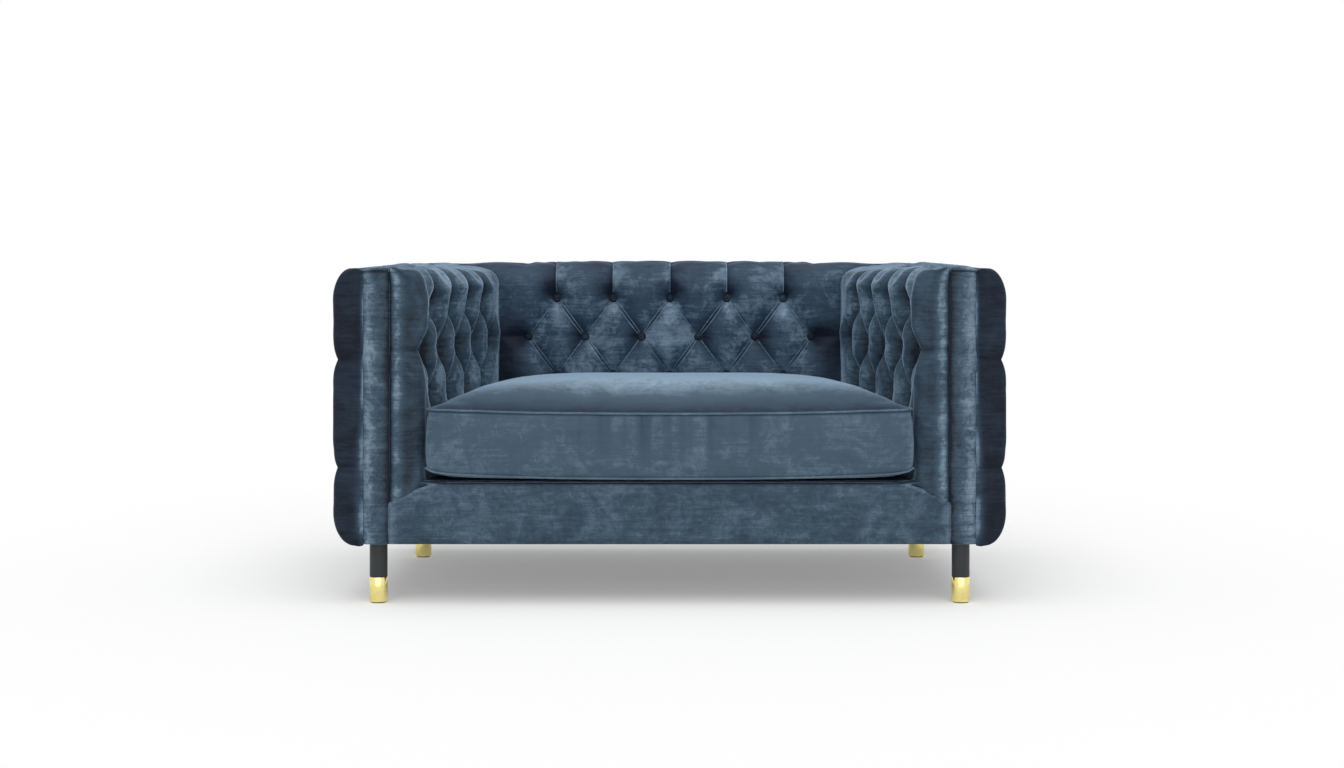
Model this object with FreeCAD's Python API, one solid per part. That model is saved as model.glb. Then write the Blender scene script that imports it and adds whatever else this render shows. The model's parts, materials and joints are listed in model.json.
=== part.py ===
import FreeCAD, Part

import math
import os

from FreeCAD import Vector

# Square-armed two-seat chesterfield with one loose bench cushion, in millimetres.
# Origin on the floor under the middle of the sofa, +X to the sitter's left, +Y to the back, +Z up.

# Overall sizes
overall_width = 1500.0
overall_depth = 850.0
overall_height = 756.0
leg_height = 136.0

# Upholstery thicknesses, measured from the frame
border_width = 57.0
border_padding = 10.0
border_edge_radius = 8.0
outside_pad_depth = 66.0
back_pad_depth = 112.0
arm_pad_front_depth = 84.0
arm_pad_rear_depth = 208.0
pad_top_below_border = 6.0
pad_gap = 0.2

# Deep buttoning
button_diameter = 22.0
button_rim = 3.0
button_dome = 6.0
button_gap = 0.4
seat_width = 14.0
groove_width = 5.0
tuft_rise = 97.0
top_row_below_pad = 83.0
inside_seat_drop = 40.0
inside_pleat_drop = 24.0
inside_mid_crest = 8.0
back_buttons = 6
back_end_margin = 59.0
arm_buttons = 5
arm_front_margin = 55.0
arm_rear_margin = 70.0
arm_front_radius = 40.0
outside_arm_buttons = 5
outside_arm_margin = 85.0
outside_back_buttons_per_row = 8
outside_back_margin = 89.0
outside_low_margin = 171.0
outside_top_margin = 202.0
outside_seat_drop = 30.0
outside_pleat_drop = 18.0
outside_mid_crest = 6.0
outside_edge_radius = 14.0
outside_back_edge_radius = 6.0
outside_rim_notch = 9.0

# Wooden frame
panel_thickness = 6.0
rail_thickness = 30.0
rail_height = 110.0
low_rail_height = 70.0
top_rail_height = 35.0
tack_rail_height = 35.0
tack_rail_lift = 20.0
post_depth = 70.0
back_post_width = 45.0
stretcher_height = 60.0
block_leg = 80.0
block_height = 60.0
dowel_diameter = 10.0
dowel_length = 50.0
dowel_gap = 0.1

# Bolts that hold the arm and back frames to the seat frame
bolt_diameter = 8.0
bolt_hole_gap = 0.3
bolt_head_diameter = 16.0
bolt_head_height = 7.0
bolt_height = 45.0
nut_thickness = 7.0
arm_bolt_front_margin = 175.0
arm_bolt_rear_margin = 142.0
back_bolt_margin = 227.0

# Seat suspension
spring_count = 8
spring_turns = 12
spring_run = 20.0
spring_wire = 3.6
spring_side_margin = 124.5
clip_sheet = 1.2
clip_width = 14.0
clip_depth = 16.0
clip_gap = 0.2
deck_cloth_thickness = 1.5
deck_pad_thickness = 19.0
dust_cover_thickness = 1.0

# Front border below the cushion
front_roll_depth = 40.0
mitre_width = 98.0
mitre_drop = 46.0

# Loose seat cushion
cushion_gap = 1.2
cushion_rear_gap = 14.0
cushion_lift = 0.3
boxing_height = 141.0
boxing_lift = 20.0
cushion_crown = 53.0
cushion_corner_radius = 36.0
corner_spread = 0.45
corner_limit = 0.44
cushion_cover = 4.0
cover_gap = 0.2
piping_diameter = 5.6
piping_gap = 0.2
zip_end_margin = 139.0
zip_tape_height = 24.0
zip_tape = 1.0
zip_chain_height = 5.0
zip_chain = 2.0
slider_length = 12.0
slider_wall = 1.6
slider_gap = 0.3
slider_tab_length = 22.0
slider_tab_width = 7.0

# Legs
leg_diameter = 40.0
ferrule_diameter = 41.0
ferrule_height = 56.0
ferrule_wall = 1.5
ferrule_floor = 3.0
ferrule_edge = 2.0
ferrule_gap = 0.1
glide_diameter = 34.0
glide_thickness = 2.0
front_leg_setback = 50.0
rear_leg_inset = 145.0
rear_leg_inboard = 20.5
plate_size = 52.0
plate_thickness = 3.0
plate_hole_spacing = 36.0
boss_diameter = 16.0
boss_height = 8.0
boss_gap = 0.3
hanger_bolt_depth = 32.0
thread_gap = 0.1
screw_diameter = 4.0
screw_length = 22.0
screw_head_diameter = 8.0
screw_gap = 0.1

# Planes that the pieces share
half_width = overall_width / 2
arm_out = half_width - outside_pad_depth
arm_in = arm_out - border_width
arm_middle = (arm_in + arm_out) / 2
front = -overall_depth / 2
rear = overall_depth / 2
back_out = rear - outside_pad_depth
back_in = back_out - border_width
wood_front = front + border_padding
wood_top = overall_height - border_padding
frame_bottom = leg_height + plate_thickness
rail_top = frame_bottom + rail_height
member_in = arm_in + panel_thickness
member_out = arm_out - panel_thickness
back_member_in = back_in + panel_thickness
back_member_out = back_out - panel_thickness
spring_level = rail_top + clip_sheet + clip_gap + spring_wire / 2
deck_cloth_bottom = spring_level + spring_wire / 2 + clip_gap + clip_sheet
deck_bottom = deck_cloth_bottom + deck_cloth_thickness
deck_top = deck_bottom + deck_pad_thickness
pad_bottom = deck_top + pad_gap
pad_top = overall_height - pad_top_below_border
inside_back = back_in - back_pad_depth
arm_depth = inside_back - front
back_end = arm_in - arm_pad_rear_depth
back_pitch = 2 * (back_end - back_end_margin) / (back_buttons - 1)
arm_pitch = (arm_depth - arm_front_margin - arm_rear_margin) / (arm_buttons - 1)
outside_arm_pitch = (overall_depth - 2 * outside_arm_margin) / (outside_arm_buttons - 1)
outside_back_pitch = 2 * (arm_out - outside_back_margin) / (outside_back_buttons_per_row - 1)

UP = Vector(0, 0, 1)


def box(x0, x1, y0, y1, z0, z1):
    """A box between two corners."""
    return Part.makeBox(x1 - x0, y1 - y0, z1 - z0, Vector(x0, y0, z0))


def rod(diameter, start, direction, length):
    """A round bar from a point along a direction."""
    return Part.makeCylinder(diameter / 2, length, start, direction)


def mirrored(shape):
    """The same piece on the other side of the sofa."""
    return shape.mirror(Vector(0, 0, 0), Vector(1, 0, 0))


def prism(points, direction):
    """A flat outline pushed along a direction."""
    return Part.Face(Part.makePolygon(points + points[:1])).extrude(direction)


def group(solids):
    """Separate solids kept in one node."""
    return Part.makeCompound(solids)


# Deep-buttoned pads

class TuftedPad:
    """A padded face with staggered button rows, lofted from one plan section per level.

    A section runs along the pad in u and swells out of it in w. Every section has the same
    corners, so the corners trace the pleats from button to button.
    """

    def __init__(self, first, pitch, count, place, crown, seat_drop, pleat_drop, mid_crest):
        self.first = first
        self.pitch = pitch
        self.count = count
        self.place = place
        self.crown = crown
        self.seat_drop = seat_drop
        self.pleat_drop = pleat_drop
        self.mid_crest = mid_crest

    def centres(self, long_row):
        """Stations of the buttons in a long row or in the short row between two long ones."""
        if long_row:
            return [self.first + k * self.pitch for k in range(self.count)]
        return [self.first + (k + 0.5) * self.pitch for k in range(self.count - 1)]

    def corners(self, long_row, width):
        """Stations of the section's corners at a row, a pair round each button."""
        pairs = []
        for centre in self.centres(long_row):
            pairs += [centre - width / 2, centre + width / 2]
        if long_row:
            return pairs
        last = self.first + (self.count - 1) * self.pitch
        reach = (self.pitch - seat_width) / 2
        return [self.first - reach] + pairs + [last + reach]

    def drops(self, long_row, depth):
        """How far each corner at a row lies under the crest."""
        inner = [depth] * (2 * len(self.centres(long_row)))
        return inner if long_row else [0.0] + inner + [0.0]

    def row(self, long_row):
        """Corner stations, drops and crest at a row of buttons."""
        return self.corners(long_row, seat_width), self.drops(long_row, self.seat_drop), 0.0

    def between(self):
        """Corner stations, drops and crest halfway between a long and a short row."""
        long_stations = self.corners(True, seat_width)
        short_stations = self.corners(False, seat_width)
        stations = [(a + b) / 2 for a, b in zip(long_stations, short_stations)]
        drops = [self.pleat_drop] * len(stations)
        return stations, drops, self.mid_crest

    def straight(self, long_row, depth):
        """Corner stations, drops and crest where upright pleats run from a row to an edge."""
        return self.corners(long_row, groove_width), self.drops(long_row, depth), 0.0

    def section(self, height, shape, swell, ends):
        """One closed plan section: the tufted front, its two ends and the flat back."""
        stations, drops, crest = shape
        start, finish = ends
        low = start[-1][0] + 1.0
        high = finish[0][0] - 1.0
        front_line = []
        for u, drop in zip(stations, drops):
            inside = min(max(u, low), high)
            front_line.append((inside, swell * self.crown(inside) - swell * drop))
        edges = []
        edges += self.run(height, start, front_line[0])
        for j in range(len(front_line) - 1):
            wide = stations[j + 1] - stations[j] > seat_width + 0.5
            rise = swell * self.puff(drops[j], drops[j + 1], crest) if wide else 0.0
            edges.append(self.edge(height, front_line[j], front_line[j + 1], rise))
        edges += self.run(height, [front_line[-1]] + finish, None)
        edges.append(self.edge(height, finish[-1], start[0], 0.0))
        return Part.Wire(edges)

    def puff(self, a, b, crest):
        """How far a puff rises over the chord between two corners, without passing the crest."""
        if min(a, b) > crest:
            return (a + b) / 2 - crest
        return (max(a, b) - min(a, b)) / 4

    def run(self, height, points, last):
        """Straight edges through points, where a third number on a point bows the edge before it."""
        path = points + [last] if last else points
        edges = []
        for a, b in zip(path, path[1:]):
            edges.append(self.edge(height, a, b, b[2] if len(b) > 2 else 0.0))
        return edges

    def edge(self, height, a, b, rise):
        """A line, or an arc that rises over its chord."""
        p = self.place(a[0], a[1], height)
        q = self.place(b[0], b[1], height)
        if abs(rise) < 0.3:
            return Part.makeLine(p, q)
        span = math.hypot(b[0] - a[0], b[1] - a[1])
        u = (a[0] + b[0]) / 2 - rise * (b[1] - a[1]) / span
        w = (a[1] + b[1]) / 2 + rise * (b[0] - a[0]) / span
        return Part.Arc(p, self.place(u, w, height), q).toShape()

    def seat(self, centre, height, direction):
        """The middle of a button's seat and the way it faces."""
        w = self.crown(centre) - self.seat_drop
        return self.place(centre, w, height), direction

    def solid(self, levels):
        """The lofted pad."""
        return Part.makeLoft([self.section(*level) for level in levels], True, True)


def rounded_end(at, sign, depth, radius):
    """A square end of a pad with a rounded outer edge, listed from the frame outwards."""
    r = min(radius, 0.6 * depth)
    bow = -r * (1 - math.sqrt(0.5))
    points = [(at, 0.0), (at, depth - r), (at + sign * r, depth, -bow)]
    if sign > 0:
        return points
    return [(at - r, depth), (at, depth - r, -bow), (at, 0.0)]


def button(centre, direction):
    """A covered button: a low rim under a dome."""
    radius = button_diameter / 2
    rim = rod(button_diameter, Vector(0, 0, 0), UP, button_rim)
    sphere_radius = (radius ** 2 + button_dome ** 2) / (2 * button_dome)
    ball_centre = Vector(0, 0, button_rim + button_dome - sphere_radius)
    dome = Part.makeSphere(sphere_radius, ball_centre)
    above = Part.makeCylinder(radius, button_dome, Vector(0, 0, button_rim))
    shape = rim.fuse(dome.common(above)).removeSplitter()
    return aimed(shape, centre, direction)


def aimed(shape, centre, direction):
    """A shape made along +Z, turned to a direction and moved to a point."""
    turn = FreeCAD.Rotation(UP, direction)
    return shape.transformed(FreeCAD.Placement(centre, turn).toMatrix())


def buttoned(pad, seats):
    """The pad with a round pocket at each seat, and the buttons that sit in the pockets."""
    reach = 2 * max(inside_seat_drop, outside_seat_drop)
    pockets = [rod(button_diameter + 2 * button_gap, p, n, reach) for p, n in seats]
    return pad.cut(group(pockets)), group([button(p, n) for p, n in seats])


# Inside back and inside arms share a mitred corner

arm_taper = (arm_pad_rear_depth - arm_pad_front_depth) / (arm_depth - arm_front_radius)
corner_fullness = 0.93


def arm_crown(t):
    """Depth of the inside arm pad's crest, t behind the front."""
    return arm_pad_front_depth + arm_taper * (t - arm_front_radius)


def back_corner(swell):
    """Where the inside back section meets the mitre, from the frame outwards."""
    share = swell * corner_fullness
    x_frame = arm_in - pad_gap
    return [(x_frame, 0.0), (x_frame - share * arm_pad_rear_depth, share * back_pad_depth)]


def arm_corner(swell):
    """The same corner in the inside arm's own section, from the crest to the frame."""
    share = swell * corner_fullness
    t_frame = back_in - front - pad_gap
    return [(t_frame - share * back_pad_depth, share * arm_pad_rear_depth), (t_frame, 0.0)]


top_row = pad_top - top_row_below_pad
inside_rows = [(top_row - 2 * tuft_rise, False), (top_row - tuft_rise, True), (top_row, False)]
# Height below the pad's top, and how much of the swell is left there
inside_shoulder = [(44.0, 0.98), (20.0, 0.87), (6.0, 0.69), (0.0, 0.5)]
shoulder_groove = [0.6, 0.5, 0.4, 0.3]
skirt_swell = 0.94


def inside_levels(pad, ends):
    """Sections of an inside pad from the deck to its rolled top."""
    low, middle, high = (height for height, long_row in inside_rows)
    levels = [(pad_bottom, pad.straight(False, 4.0), skirt_swell, ends(skirt_swell))]
    levels.append(((pad_bottom + low) / 2, pad.straight(False, 10.0), 1.0, ends(1.0)))
    levels.append((low, pad.row(False), 1.0, ends(1.0)))
    levels.append(((low + middle) / 2, pad.between(), 1.0, ends(1.0)))
    levels.append((middle, pad.row(True), 1.0, ends(1.0)))
    levels.append(((middle + high) / 2, pad.between(), 1.0, ends(1.0)))
    levels.append((high, pad.row(False), 1.0, ends(1.0)))
    for (below, swell), share in zip(inside_shoulder, shoulder_groove):
        shape = pad.straight(False, share * inside_seat_drop)
        levels.append((pad_top - below, shape, swell, ends(swell)))
    return levels


def inside_back_pad():
    """The tufted inside back with its buttons."""
    pad = TuftedPad(
        -back_pitch * (back_buttons - 1) / 2, back_pitch, back_buttons,
        lambda x, w, z: Vector(x, back_in - w, z), lambda x: back_pad_depth,
        inside_seat_drop, inside_pleat_drop, inside_mid_crest)

    def ends(swell):
        right = back_corner(swell)
        left = [(-u, w) for u, w in right]
        return left, right[::-1]

    facing = Vector(0, -1, 0)
    seats = [pad.seat(u, z, facing) for z, long_row in inside_rows for u in pad.centres(long_row)]
    return buttoned(pad.solid(inside_levels(pad, ends)), seats)


def inside_arm_pad():
    """The tufted inside arm at +X, thicker towards the back, with its front gusset and buttons."""
    pad = TuftedPad(
        arm_front_margin, arm_pitch, arm_buttons,
        lambda t, w, z: Vector(arm_in - w, front + t, z), arm_crown,
        inside_seat_drop, inside_pleat_drop, inside_mid_crest)

    def ends(swell):
        depth = swell * arm_crown(arm_front_radius)
        return rounded_end(0.0, 1, depth, arm_front_radius), arm_corner(swell)

    facing = Vector(-1, -arm_taper, 0)
    facing.normalize()
    seats = [pad.seat(t, z, facing) for z, long_row in inside_rows for t in pad.centres(long_row)]
    solid = pad.solid(inside_levels(pad, ends)).fuse(mitre_gusset(0.0)).removeSplitter()
    return buttoned(solid, seats)


def mitre_gusset(grow):
    """The wedge of the inside arm's cover that runs down to the mitre seam on the front border."""
    inner = arm_in - mitre_width - grow
    low = pad_bottom - mitre_drop - grow
    outline = [
        Vector(arm_in, front, pad_bottom),
        Vector(inner, front, pad_bottom),
        Vector(arm_in, front, low),
    ]
    return prism(outline, Vector(0, border_padding, 0))


# Outside arms and outside back

outside_low_row = leg_height + outside_low_margin
outside_high_row = pad_top - outside_top_margin
outside_middle_row = (outside_low_row + outside_high_row) / 2
outside_rows = [(outside_low_row, True), (outside_middle_row, False), (outside_high_row, True)]
# Height in from the pad's bottom or top edge, and how much of the swell is left there
outside_foot = [(0.0, 0.5), (11.0, 0.76), (30.0, 0.91), (70.0, 1.0)]
outside_shoulder = [(68.0, 1.0), (38.0, 0.94), (20.0, 0.82), (7.0, 0.63), (0.0, 0.45)]
foot_groove = [0.3, 0.35, 0.4, 0.5]
shoulder_pleat = [0.5, 0.45, 0.4, 0.35, 0.3]


def outside_levels(pad, ends):
    """Sections of an outside pad from its lower edge to its top."""
    low, middle, high = (height for height, long_row in outside_rows)
    levels = []
    for (above, swell), share in zip(outside_foot, foot_groove):
        shape = pad.straight(True, share * outside_seat_drop)
        levels.append((leg_height + above, shape, swell, ends(swell, 0.0)))
    levels.append((low, pad.row(True), 1.0, ends(1.0, outside_rim_notch)))
    levels.append(((low + middle) / 2, pad.between(), 1.0, ends(1.0, 0.0)))
    levels.append((middle, pad.row(False), 1.0, ends(1.0, 0.0)))
    levels.append(((middle + high) / 2, pad.between(), 1.0, ends(1.0, 0.0)))
    levels.append((high, pad.row(True), 1.0, ends(1.0, outside_rim_notch)))
    for (below, swell), share in zip(outside_shoulder, shoulder_pleat):
        shape = pad.straight(True, share * outside_seat_drop)
        levels.append((pad_top - below, shape, swell, ends(swell, 0.0)))
    return levels


def outside_pad(count, pitch, half_length, edge_radius, place, facing):
    """A tufted outside pad with its buttons."""
    pad = TuftedPad(
        -pitch * (count - 1) / 2, pitch, count, place, lambda u: outside_pad_depth,
        outside_seat_drop, outside_pleat_drop, outside_mid_crest)

    def ends(swell, notch):
        depth = swell * outside_pad_depth - notch
        start = rounded_end(-half_length, 1, depth, edge_radius)
        return start, rounded_end(half_length, -1, depth, edge_radius)

    seats = [pad.seat(u, z, facing) for z, long_row in outside_rows for u in pad.centres(long_row)]
    return buttoned(pad.solid(outside_levels(pad, ends)), seats)


def outside_arm_pad():
    """The outside arm at +X, from the front edge to the back edge."""
    return outside_pad(
        outside_arm_buttons, outside_arm_pitch, overall_depth / 2, outside_edge_radius,
        lambda y, w, z: Vector(arm_out + w, y, z), Vector(1, 0, 0))


def outside_back_pad():
    """The outside back between the two outside arms."""
    return outside_pad(
        outside_back_buttons_per_row, outside_back_pitch, arm_out - pad_gap, outside_back_edge_radius,
        lambda x, w, z: Vector(x, back_out + w, z), Vector(0, 1, 0))


# Plain borders

def arm_border():
    """The strip that runs up the arm's front and back along its top, at +X."""
    r = border_edge_radius
    bend = r * (1 - math.sqrt(0.5))
    x = arm_in
    corners = [
        Vector(x, front, leg_height),
        Vector(x, front, overall_height - r),
        Vector(x, front + r, overall_height),
        Vector(x, back_out, overall_height),
        Vector(x, back_out, wood_top),
        Vector(x, wood_front, wood_top),
        Vector(x, wood_front, leg_height),
    ]
    edges = [Part.makeLine(a, b) for a, b in zip(corners, corners[1:] + corners[:1])]
    edges[1] = Part.Arc(corners[1], Vector(x, front + bend, overall_height - bend), corners[2]).toShape()
    return Part.Face(Part.Wire(edges)).extrude(Vector(border_width, 0, 0))


def back_border():
    """The strip along the top of the back, between the arm strips."""
    return box(-arm_in, arm_in, back_in, back_out, wood_top, overall_height)


def front_border():
    """The padded border over the front rail, mitred into the inside arms."""
    top = deck_top
    r = border_edge_radius
    bend = r * (1 - math.sqrt(0.5))
    x = -arm_in
    corners = [
        Vector(x, front, leg_height),
        Vector(x, front, top - r),
        Vector(x, front + r, top),
        Vector(x, front + front_roll_depth, top),
        Vector(x, front + front_roll_depth, deck_cloth_bottom),
        Vector(x, wood_front, deck_cloth_bottom),
        Vector(x, wood_front, leg_height),
    ]
    edges = [Part.makeLine(a, b) for a, b in zip(corners, corners[1:] + corners[:1])]
    edges[1] = Part.Arc(corners[1], Vector(x, front + bend, top - bend), corners[2]).toShape()
    border = Part.Face(Part.Wire(edges)).extrude(Vector(2 * arm_in, 0, 0))
    wedge = mitre_gusset(pad_gap)
    return border.cut(wedge).cut(mirrored(wedge))


# Wooden frame

def hole_list():
    """Every hole drilled in the frame: for dowels, bolts, leg bosses and plate screws."""
    holes = [rod(dowel_diameter + 2 * dowel_gap, *span) for span in dowel_spans()]
    for start, direction, length in bolt_spans():
        holes.append(rod(bolt_diameter + 2 * bolt_hole_gap, start, direction, length))
        recess = bolt_head_height + bolt_hole_gap
        holes.append(rod(bolt_head_diameter + 2 * bolt_hole_gap, start, direction, recess))
    for x, y in leg_places():
        foot = Vector(x, y, frame_bottom)
        holes.append(rod(boss_diameter + 2 * boss_gap, foot, UP, boss_height + boss_gap))
        for spot in screw_spots(x, y):
            bottom = Vector(spot[0], spot[1], frame_bottom)
            holes.append(rod(screw_diameter + 2 * screw_gap, bottom, UP, screw_length + screw_gap))
    return holes


def drilled(piece, holes):
    """A wooden piece with the holes that cross it."""
    crossing = [h for h in holes if piece.BoundBox.intersect(h.BoundBox)]
    return piece.cut(group(crossing)) if crossing else piece


def dowel_spans():
    """Start, direction and length of each dowel, centred on the face between its two pieces."""
    spans = []

    def across(face, direction):
        spans.append((face - direction * (dowel_length / 2), direction, dowel_length))

    along_x, along_y = Vector(1, 0, 0), Vector(0, 1, 0)
    rail_middle = arm_in - rail_thickness / 2
    for side in (-1, 1):
        for share in (0.3, 0.75):
            height = frame_bottom + share * rail_height
            across(Vector(side * rail_middle, wood_front + rail_thickness, height), along_y)
            inner = side * (arm_in - rail_thickness)
            across(Vector(inner, back_in - rail_thickness / 2, height), along_x)
        for y in (wood_front + rail_thickness, back_in - rail_thickness):
            across(Vector(side * stretcher_place(), y, frame_bottom + stretcher_height / 2), along_y)
        for y in (wood_front + post_depth, back_out - post_depth):
            for share in (0.5, 0.8):
                across(Vector(side * arm_middle, y, frame_bottom + share * low_rail_height), along_y)
            tack_middle = deck_top + tack_rail_lift + tack_rail_height / 2
            across(Vector(side * arm_middle, y, tack_middle), along_y)
        for y in (wood_front + post_depth / 2, back_out - post_depth / 2):
            across(Vector(side * arm_middle, y, wood_top - top_rail_height), UP)
    for x in back_post_places():
        middle = (back_member_in + back_member_out) / 2
        across(Vector(x, middle, frame_bottom + low_rail_height), UP)
        across(Vector(x, middle, wood_top - top_rail_height), UP)
    return spans


def bolt_spans():
    """Head face, direction and length of each frame bolt, from its head to its nut's far side."""
    spans = []
    height = frame_bottom + bolt_height
    grip = member_out - (arm_in - rail_thickness)
    for side in (-1, 1):
        first = wood_front + arm_bolt_front_margin
        last = back_in - arm_bolt_rear_margin
        for y in (first, (first + last) / 2, last):
            spans.append((Vector(side * member_out, y, height), Vector(-side, 0, 0), grip + nut_thickness))
    back_grip = back_member_out - (back_in - rail_thickness)
    for step in (-1, 0, 1):
        head = Vector(step * (arm_in - back_bolt_margin), back_member_out, height)
        spans.append((head, Vector(0, -1, 0), back_grip + nut_thickness))
    return spans


def stretcher_place():
    """Distance of the seat stretchers from the middle."""
    return arm_in / 3


def back_post_places():
    """Where the four uprights of the back frame stand."""
    end = arm_in - back_post_width / 2
    return [-end, -end / 3, end / 3, end]


def seat_frame():
    """The box under the seat: rails, stretchers and glued corner blocks."""
    inner = arm_in - rail_thickness
    rail_front = wood_front + rail_thickness
    rail_rear = back_in - rail_thickness
    side = box(inner, arm_in, rail_front, back_in, frame_bottom, rail_top)
    half = rail_thickness / 2
    stretcher = box(
        stretcher_place() - half, stretcher_place() + half, rail_front, rail_rear,
        frame_bottom, frame_bottom + stretcher_height)
    front_block = prism([
        Vector(inner, rail_front, frame_bottom),
        Vector(inner, rail_front + block_leg, frame_bottom),
        Vector(inner - block_leg, rail_front, frame_bottom)], Vector(0, 0, block_height))
    rear_block = prism([
        Vector(inner, rail_rear, frame_bottom),
        Vector(inner - block_leg, rail_rear, frame_bottom),
        Vector(inner, rail_rear - block_leg, frame_bottom)], Vector(0, 0, block_height))
    return {
        "front_rail": box(-arm_in, arm_in, wood_front, rail_front, frame_bottom, rail_top),
        "rear_rail": box(-inner, inner, rail_rear, back_in, frame_bottom, rail_top),
        "side_rail_right": side,
        "side_rail_left": mirrored(side),
        "seat_stretchers": group([stretcher, mirrored(stretcher)]),
        "corner_blocks": group([
            front_block, mirrored(front_block), rear_block, mirrored(rear_block)]),
    }


def arm_frame():
    """One arm frame at +X: posts, rails and the two plywood faces."""
    post_front = wood_front + post_depth
    post_rear = back_out - post_depth
    rail_low = wood_top - top_rail_height
    tack = deck_top + tack_rail_lift
    return {
        "arm_front_post": box(member_in, member_out, wood_front, post_front, frame_bottom, rail_low),
        "arm_rear_post": box(member_in, member_out, post_rear, back_out, frame_bottom, rail_low),
        "arm_top_rail": box(member_in, member_out, wood_front, back_out, rail_low, wood_top),
        "arm_bottom_rail": box(
            member_in, member_out, post_front, post_rear, frame_bottom, frame_bottom + low_rail_height),
        "arm_tack_rail": box(member_in, member_out, post_front, post_rear, tack, tack + tack_rail_height),
        "arm_inner_panel": box(arm_in, member_in, wood_front, back_out, frame_bottom, wood_top),
        "arm_outer_panel": box(member_out, arm_out, wood_front, back_out, frame_bottom, wood_top),
    }


def back_frame():
    """The frame of the back, between the arm frames."""
    rail_low = wood_top - top_rail_height
    low_top = frame_bottom + low_rail_height
    half = back_post_width / 2
    posts = [
        box(x - half, x + half, back_member_in, back_member_out, low_top, rail_low)
        for x in back_post_places()]
    return {
        "back_top_rail": box(-arm_in, arm_in, back_member_in, back_member_out, rail_low, wood_top),
        "back_bottom_rail": box(
            -arm_in, arm_in, back_member_in, back_member_out, frame_bottom, low_top),
        "back_posts": group(posts),
        "back_inner_panel": box(-arm_in, arm_in, back_in, back_member_in, frame_bottom, wood_top),
        "back_outer_panel": box(-arm_in, arm_in, back_member_out, back_out, frame_bottom, wood_top),
    }


def frame_nodes():
    """All the wooden pieces, drilled."""
    holes = hole_list()
    nodes = {}
    for name, piece in {**seat_frame(), **back_frame()}.items():
        nodes[name] = drilled(piece, holes)
    for name, piece in arm_frame().items():
        right = drilled(piece, holes)
        if name == "arm_tack_rail":
            nodes["arm_tack_rails"] = group([right, mirrored(right)])
        else:
            nodes[name + "_right"] = right
            nodes[name + "_left"] = mirrored(right)
    return nodes


def frame_hardware():
    """Dowels, bolts and nuts of the frame."""
    bolts = []
    nuts = []
    for start, direction, length in bolt_spans():
        head_face = start + direction * bolt_hole_gap
        shank = rod(bolt_diameter, head_face, direction, length - bolt_hole_gap)
        head = hexagon(bolt_head_diameter, head_face, direction, bolt_head_height)
        bolts.append(shank.fuse(head).removeSplitter())
        seat = start + direction * (length - nut_thickness)
        nut = hexagon(bolt_head_diameter, seat, direction, nut_thickness)
        nuts.append(nut.cut(rod(bolt_diameter + 2 * thread_gap, seat, direction, nut_thickness)))
    return {
        "frame_dowels": group([rod(dowel_diameter, *span) for span in dowel_spans()]),
        "frame_bolts": group(bolts),
        "frame_nuts": group(nuts),
    }


def hexagon(across, start, direction, length):
    """A six-sided bar, measured across its corners."""
    points = []
    for k in range(6):
        angle = k * math.pi / 3
        points.append(Vector(across / 2 * math.cos(angle), across / 2 * math.sin(angle), 0))
    return aimed(prism(points, Vector(0, 0, length)), start, direction)


# Seat suspension and deck

def spring_places():
    """X of each zigzag spring."""
    reach = arm_in - rail_thickness - spring_side_margin
    return [reach * (2 * k / (spring_count - 1) - 1) for k in range(spring_count)]


def spring_span():
    """Y of a spring's first and last bar, in the middle of the two rails."""
    return wood_front + rail_thickness / 2, back_in - rail_thickness / 2


def zigzag_spring(x):
    """One unbroken wire: straight bars joined by half turns, all at one level."""
    first, last = spring_span()
    step = (last - first) / spring_turns
    half = spring_run / 2
    edges = []
    for k in range(spring_turns + 1):
        y = first + k * step
        side = 1 if k % 2 == 0 else -1
        start = Vector(x - side * half, y, spring_level)
        end = Vector(x + side * half, y, spring_level)
        edges.append(Part.makeLine(start, end))
        if k < spring_turns:
            outer = Vector(x + side * (half + step / 2), y + step / 2, spring_level)
            turned = Vector(x + side * half, y + step, spring_level)
            edges.append(Part.Arc(end, outer, turned).toShape())
    path = Part.Wire(edges)
    wire = hexagon(spring_wire, Vector(x - half, first, spring_level), Vector(1, 0, 0), 1.0)
    outline = min(wire.Faces, key=lambda f: f.CenterOfMass.x).OuterWire
    return path.makePipeShell([outline], True, False)


def spring_self_gap():
    """Least clear space between two turns of one spring, measured on points along its wire."""
    first, last = spring_span()
    step = (last - first) / spring_turns
    half = spring_run / 2
    points = []
    for k in range(spring_turns + 1):
        side = 1 if k % 2 == 0 else -1
        y = first + k * step
        points += [(side * half * share, y) for share in (-1.0, -0.5, 0.0, 0.5, 1.0)]
        if k < spring_turns:
            for turn in range(15, 180, 15):
                angle = math.radians(turn - 90)
                x = side * (half + step / 2 * math.cos(angle))
                points.append((x, y + step / 2 + step / 2 * math.sin(angle)))
    apart = 12
    least = min(
        math.hypot(a[0] - b[0], a[1] - b[1])
        for i, a in enumerate(points) for b in points[i + apart:])
    return least - spring_wire


def spring_clip(x, y, open_way):
    """A folded steel clip that holds a spring's end bar on a rail."""
    x0, x1 = x - clip_width / 2, x + clip_width / 2
    back = y - open_way * clip_depth / 2
    mouth = y + open_way * clip_depth / 2
    outer = box(x0, x1, min(back, mouth), max(back, mouth), rail_top, deck_cloth_bottom)
    slot_back = back + open_way * clip_sheet
    low = spring_level - spring_wire / 2 - clip_gap
    high = spring_level + spring_wire / 2 + clip_gap
    return outer.cut(box(x0, x1, min(slot_back, mouth), max(slot_back, mouth), low, high))


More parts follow.
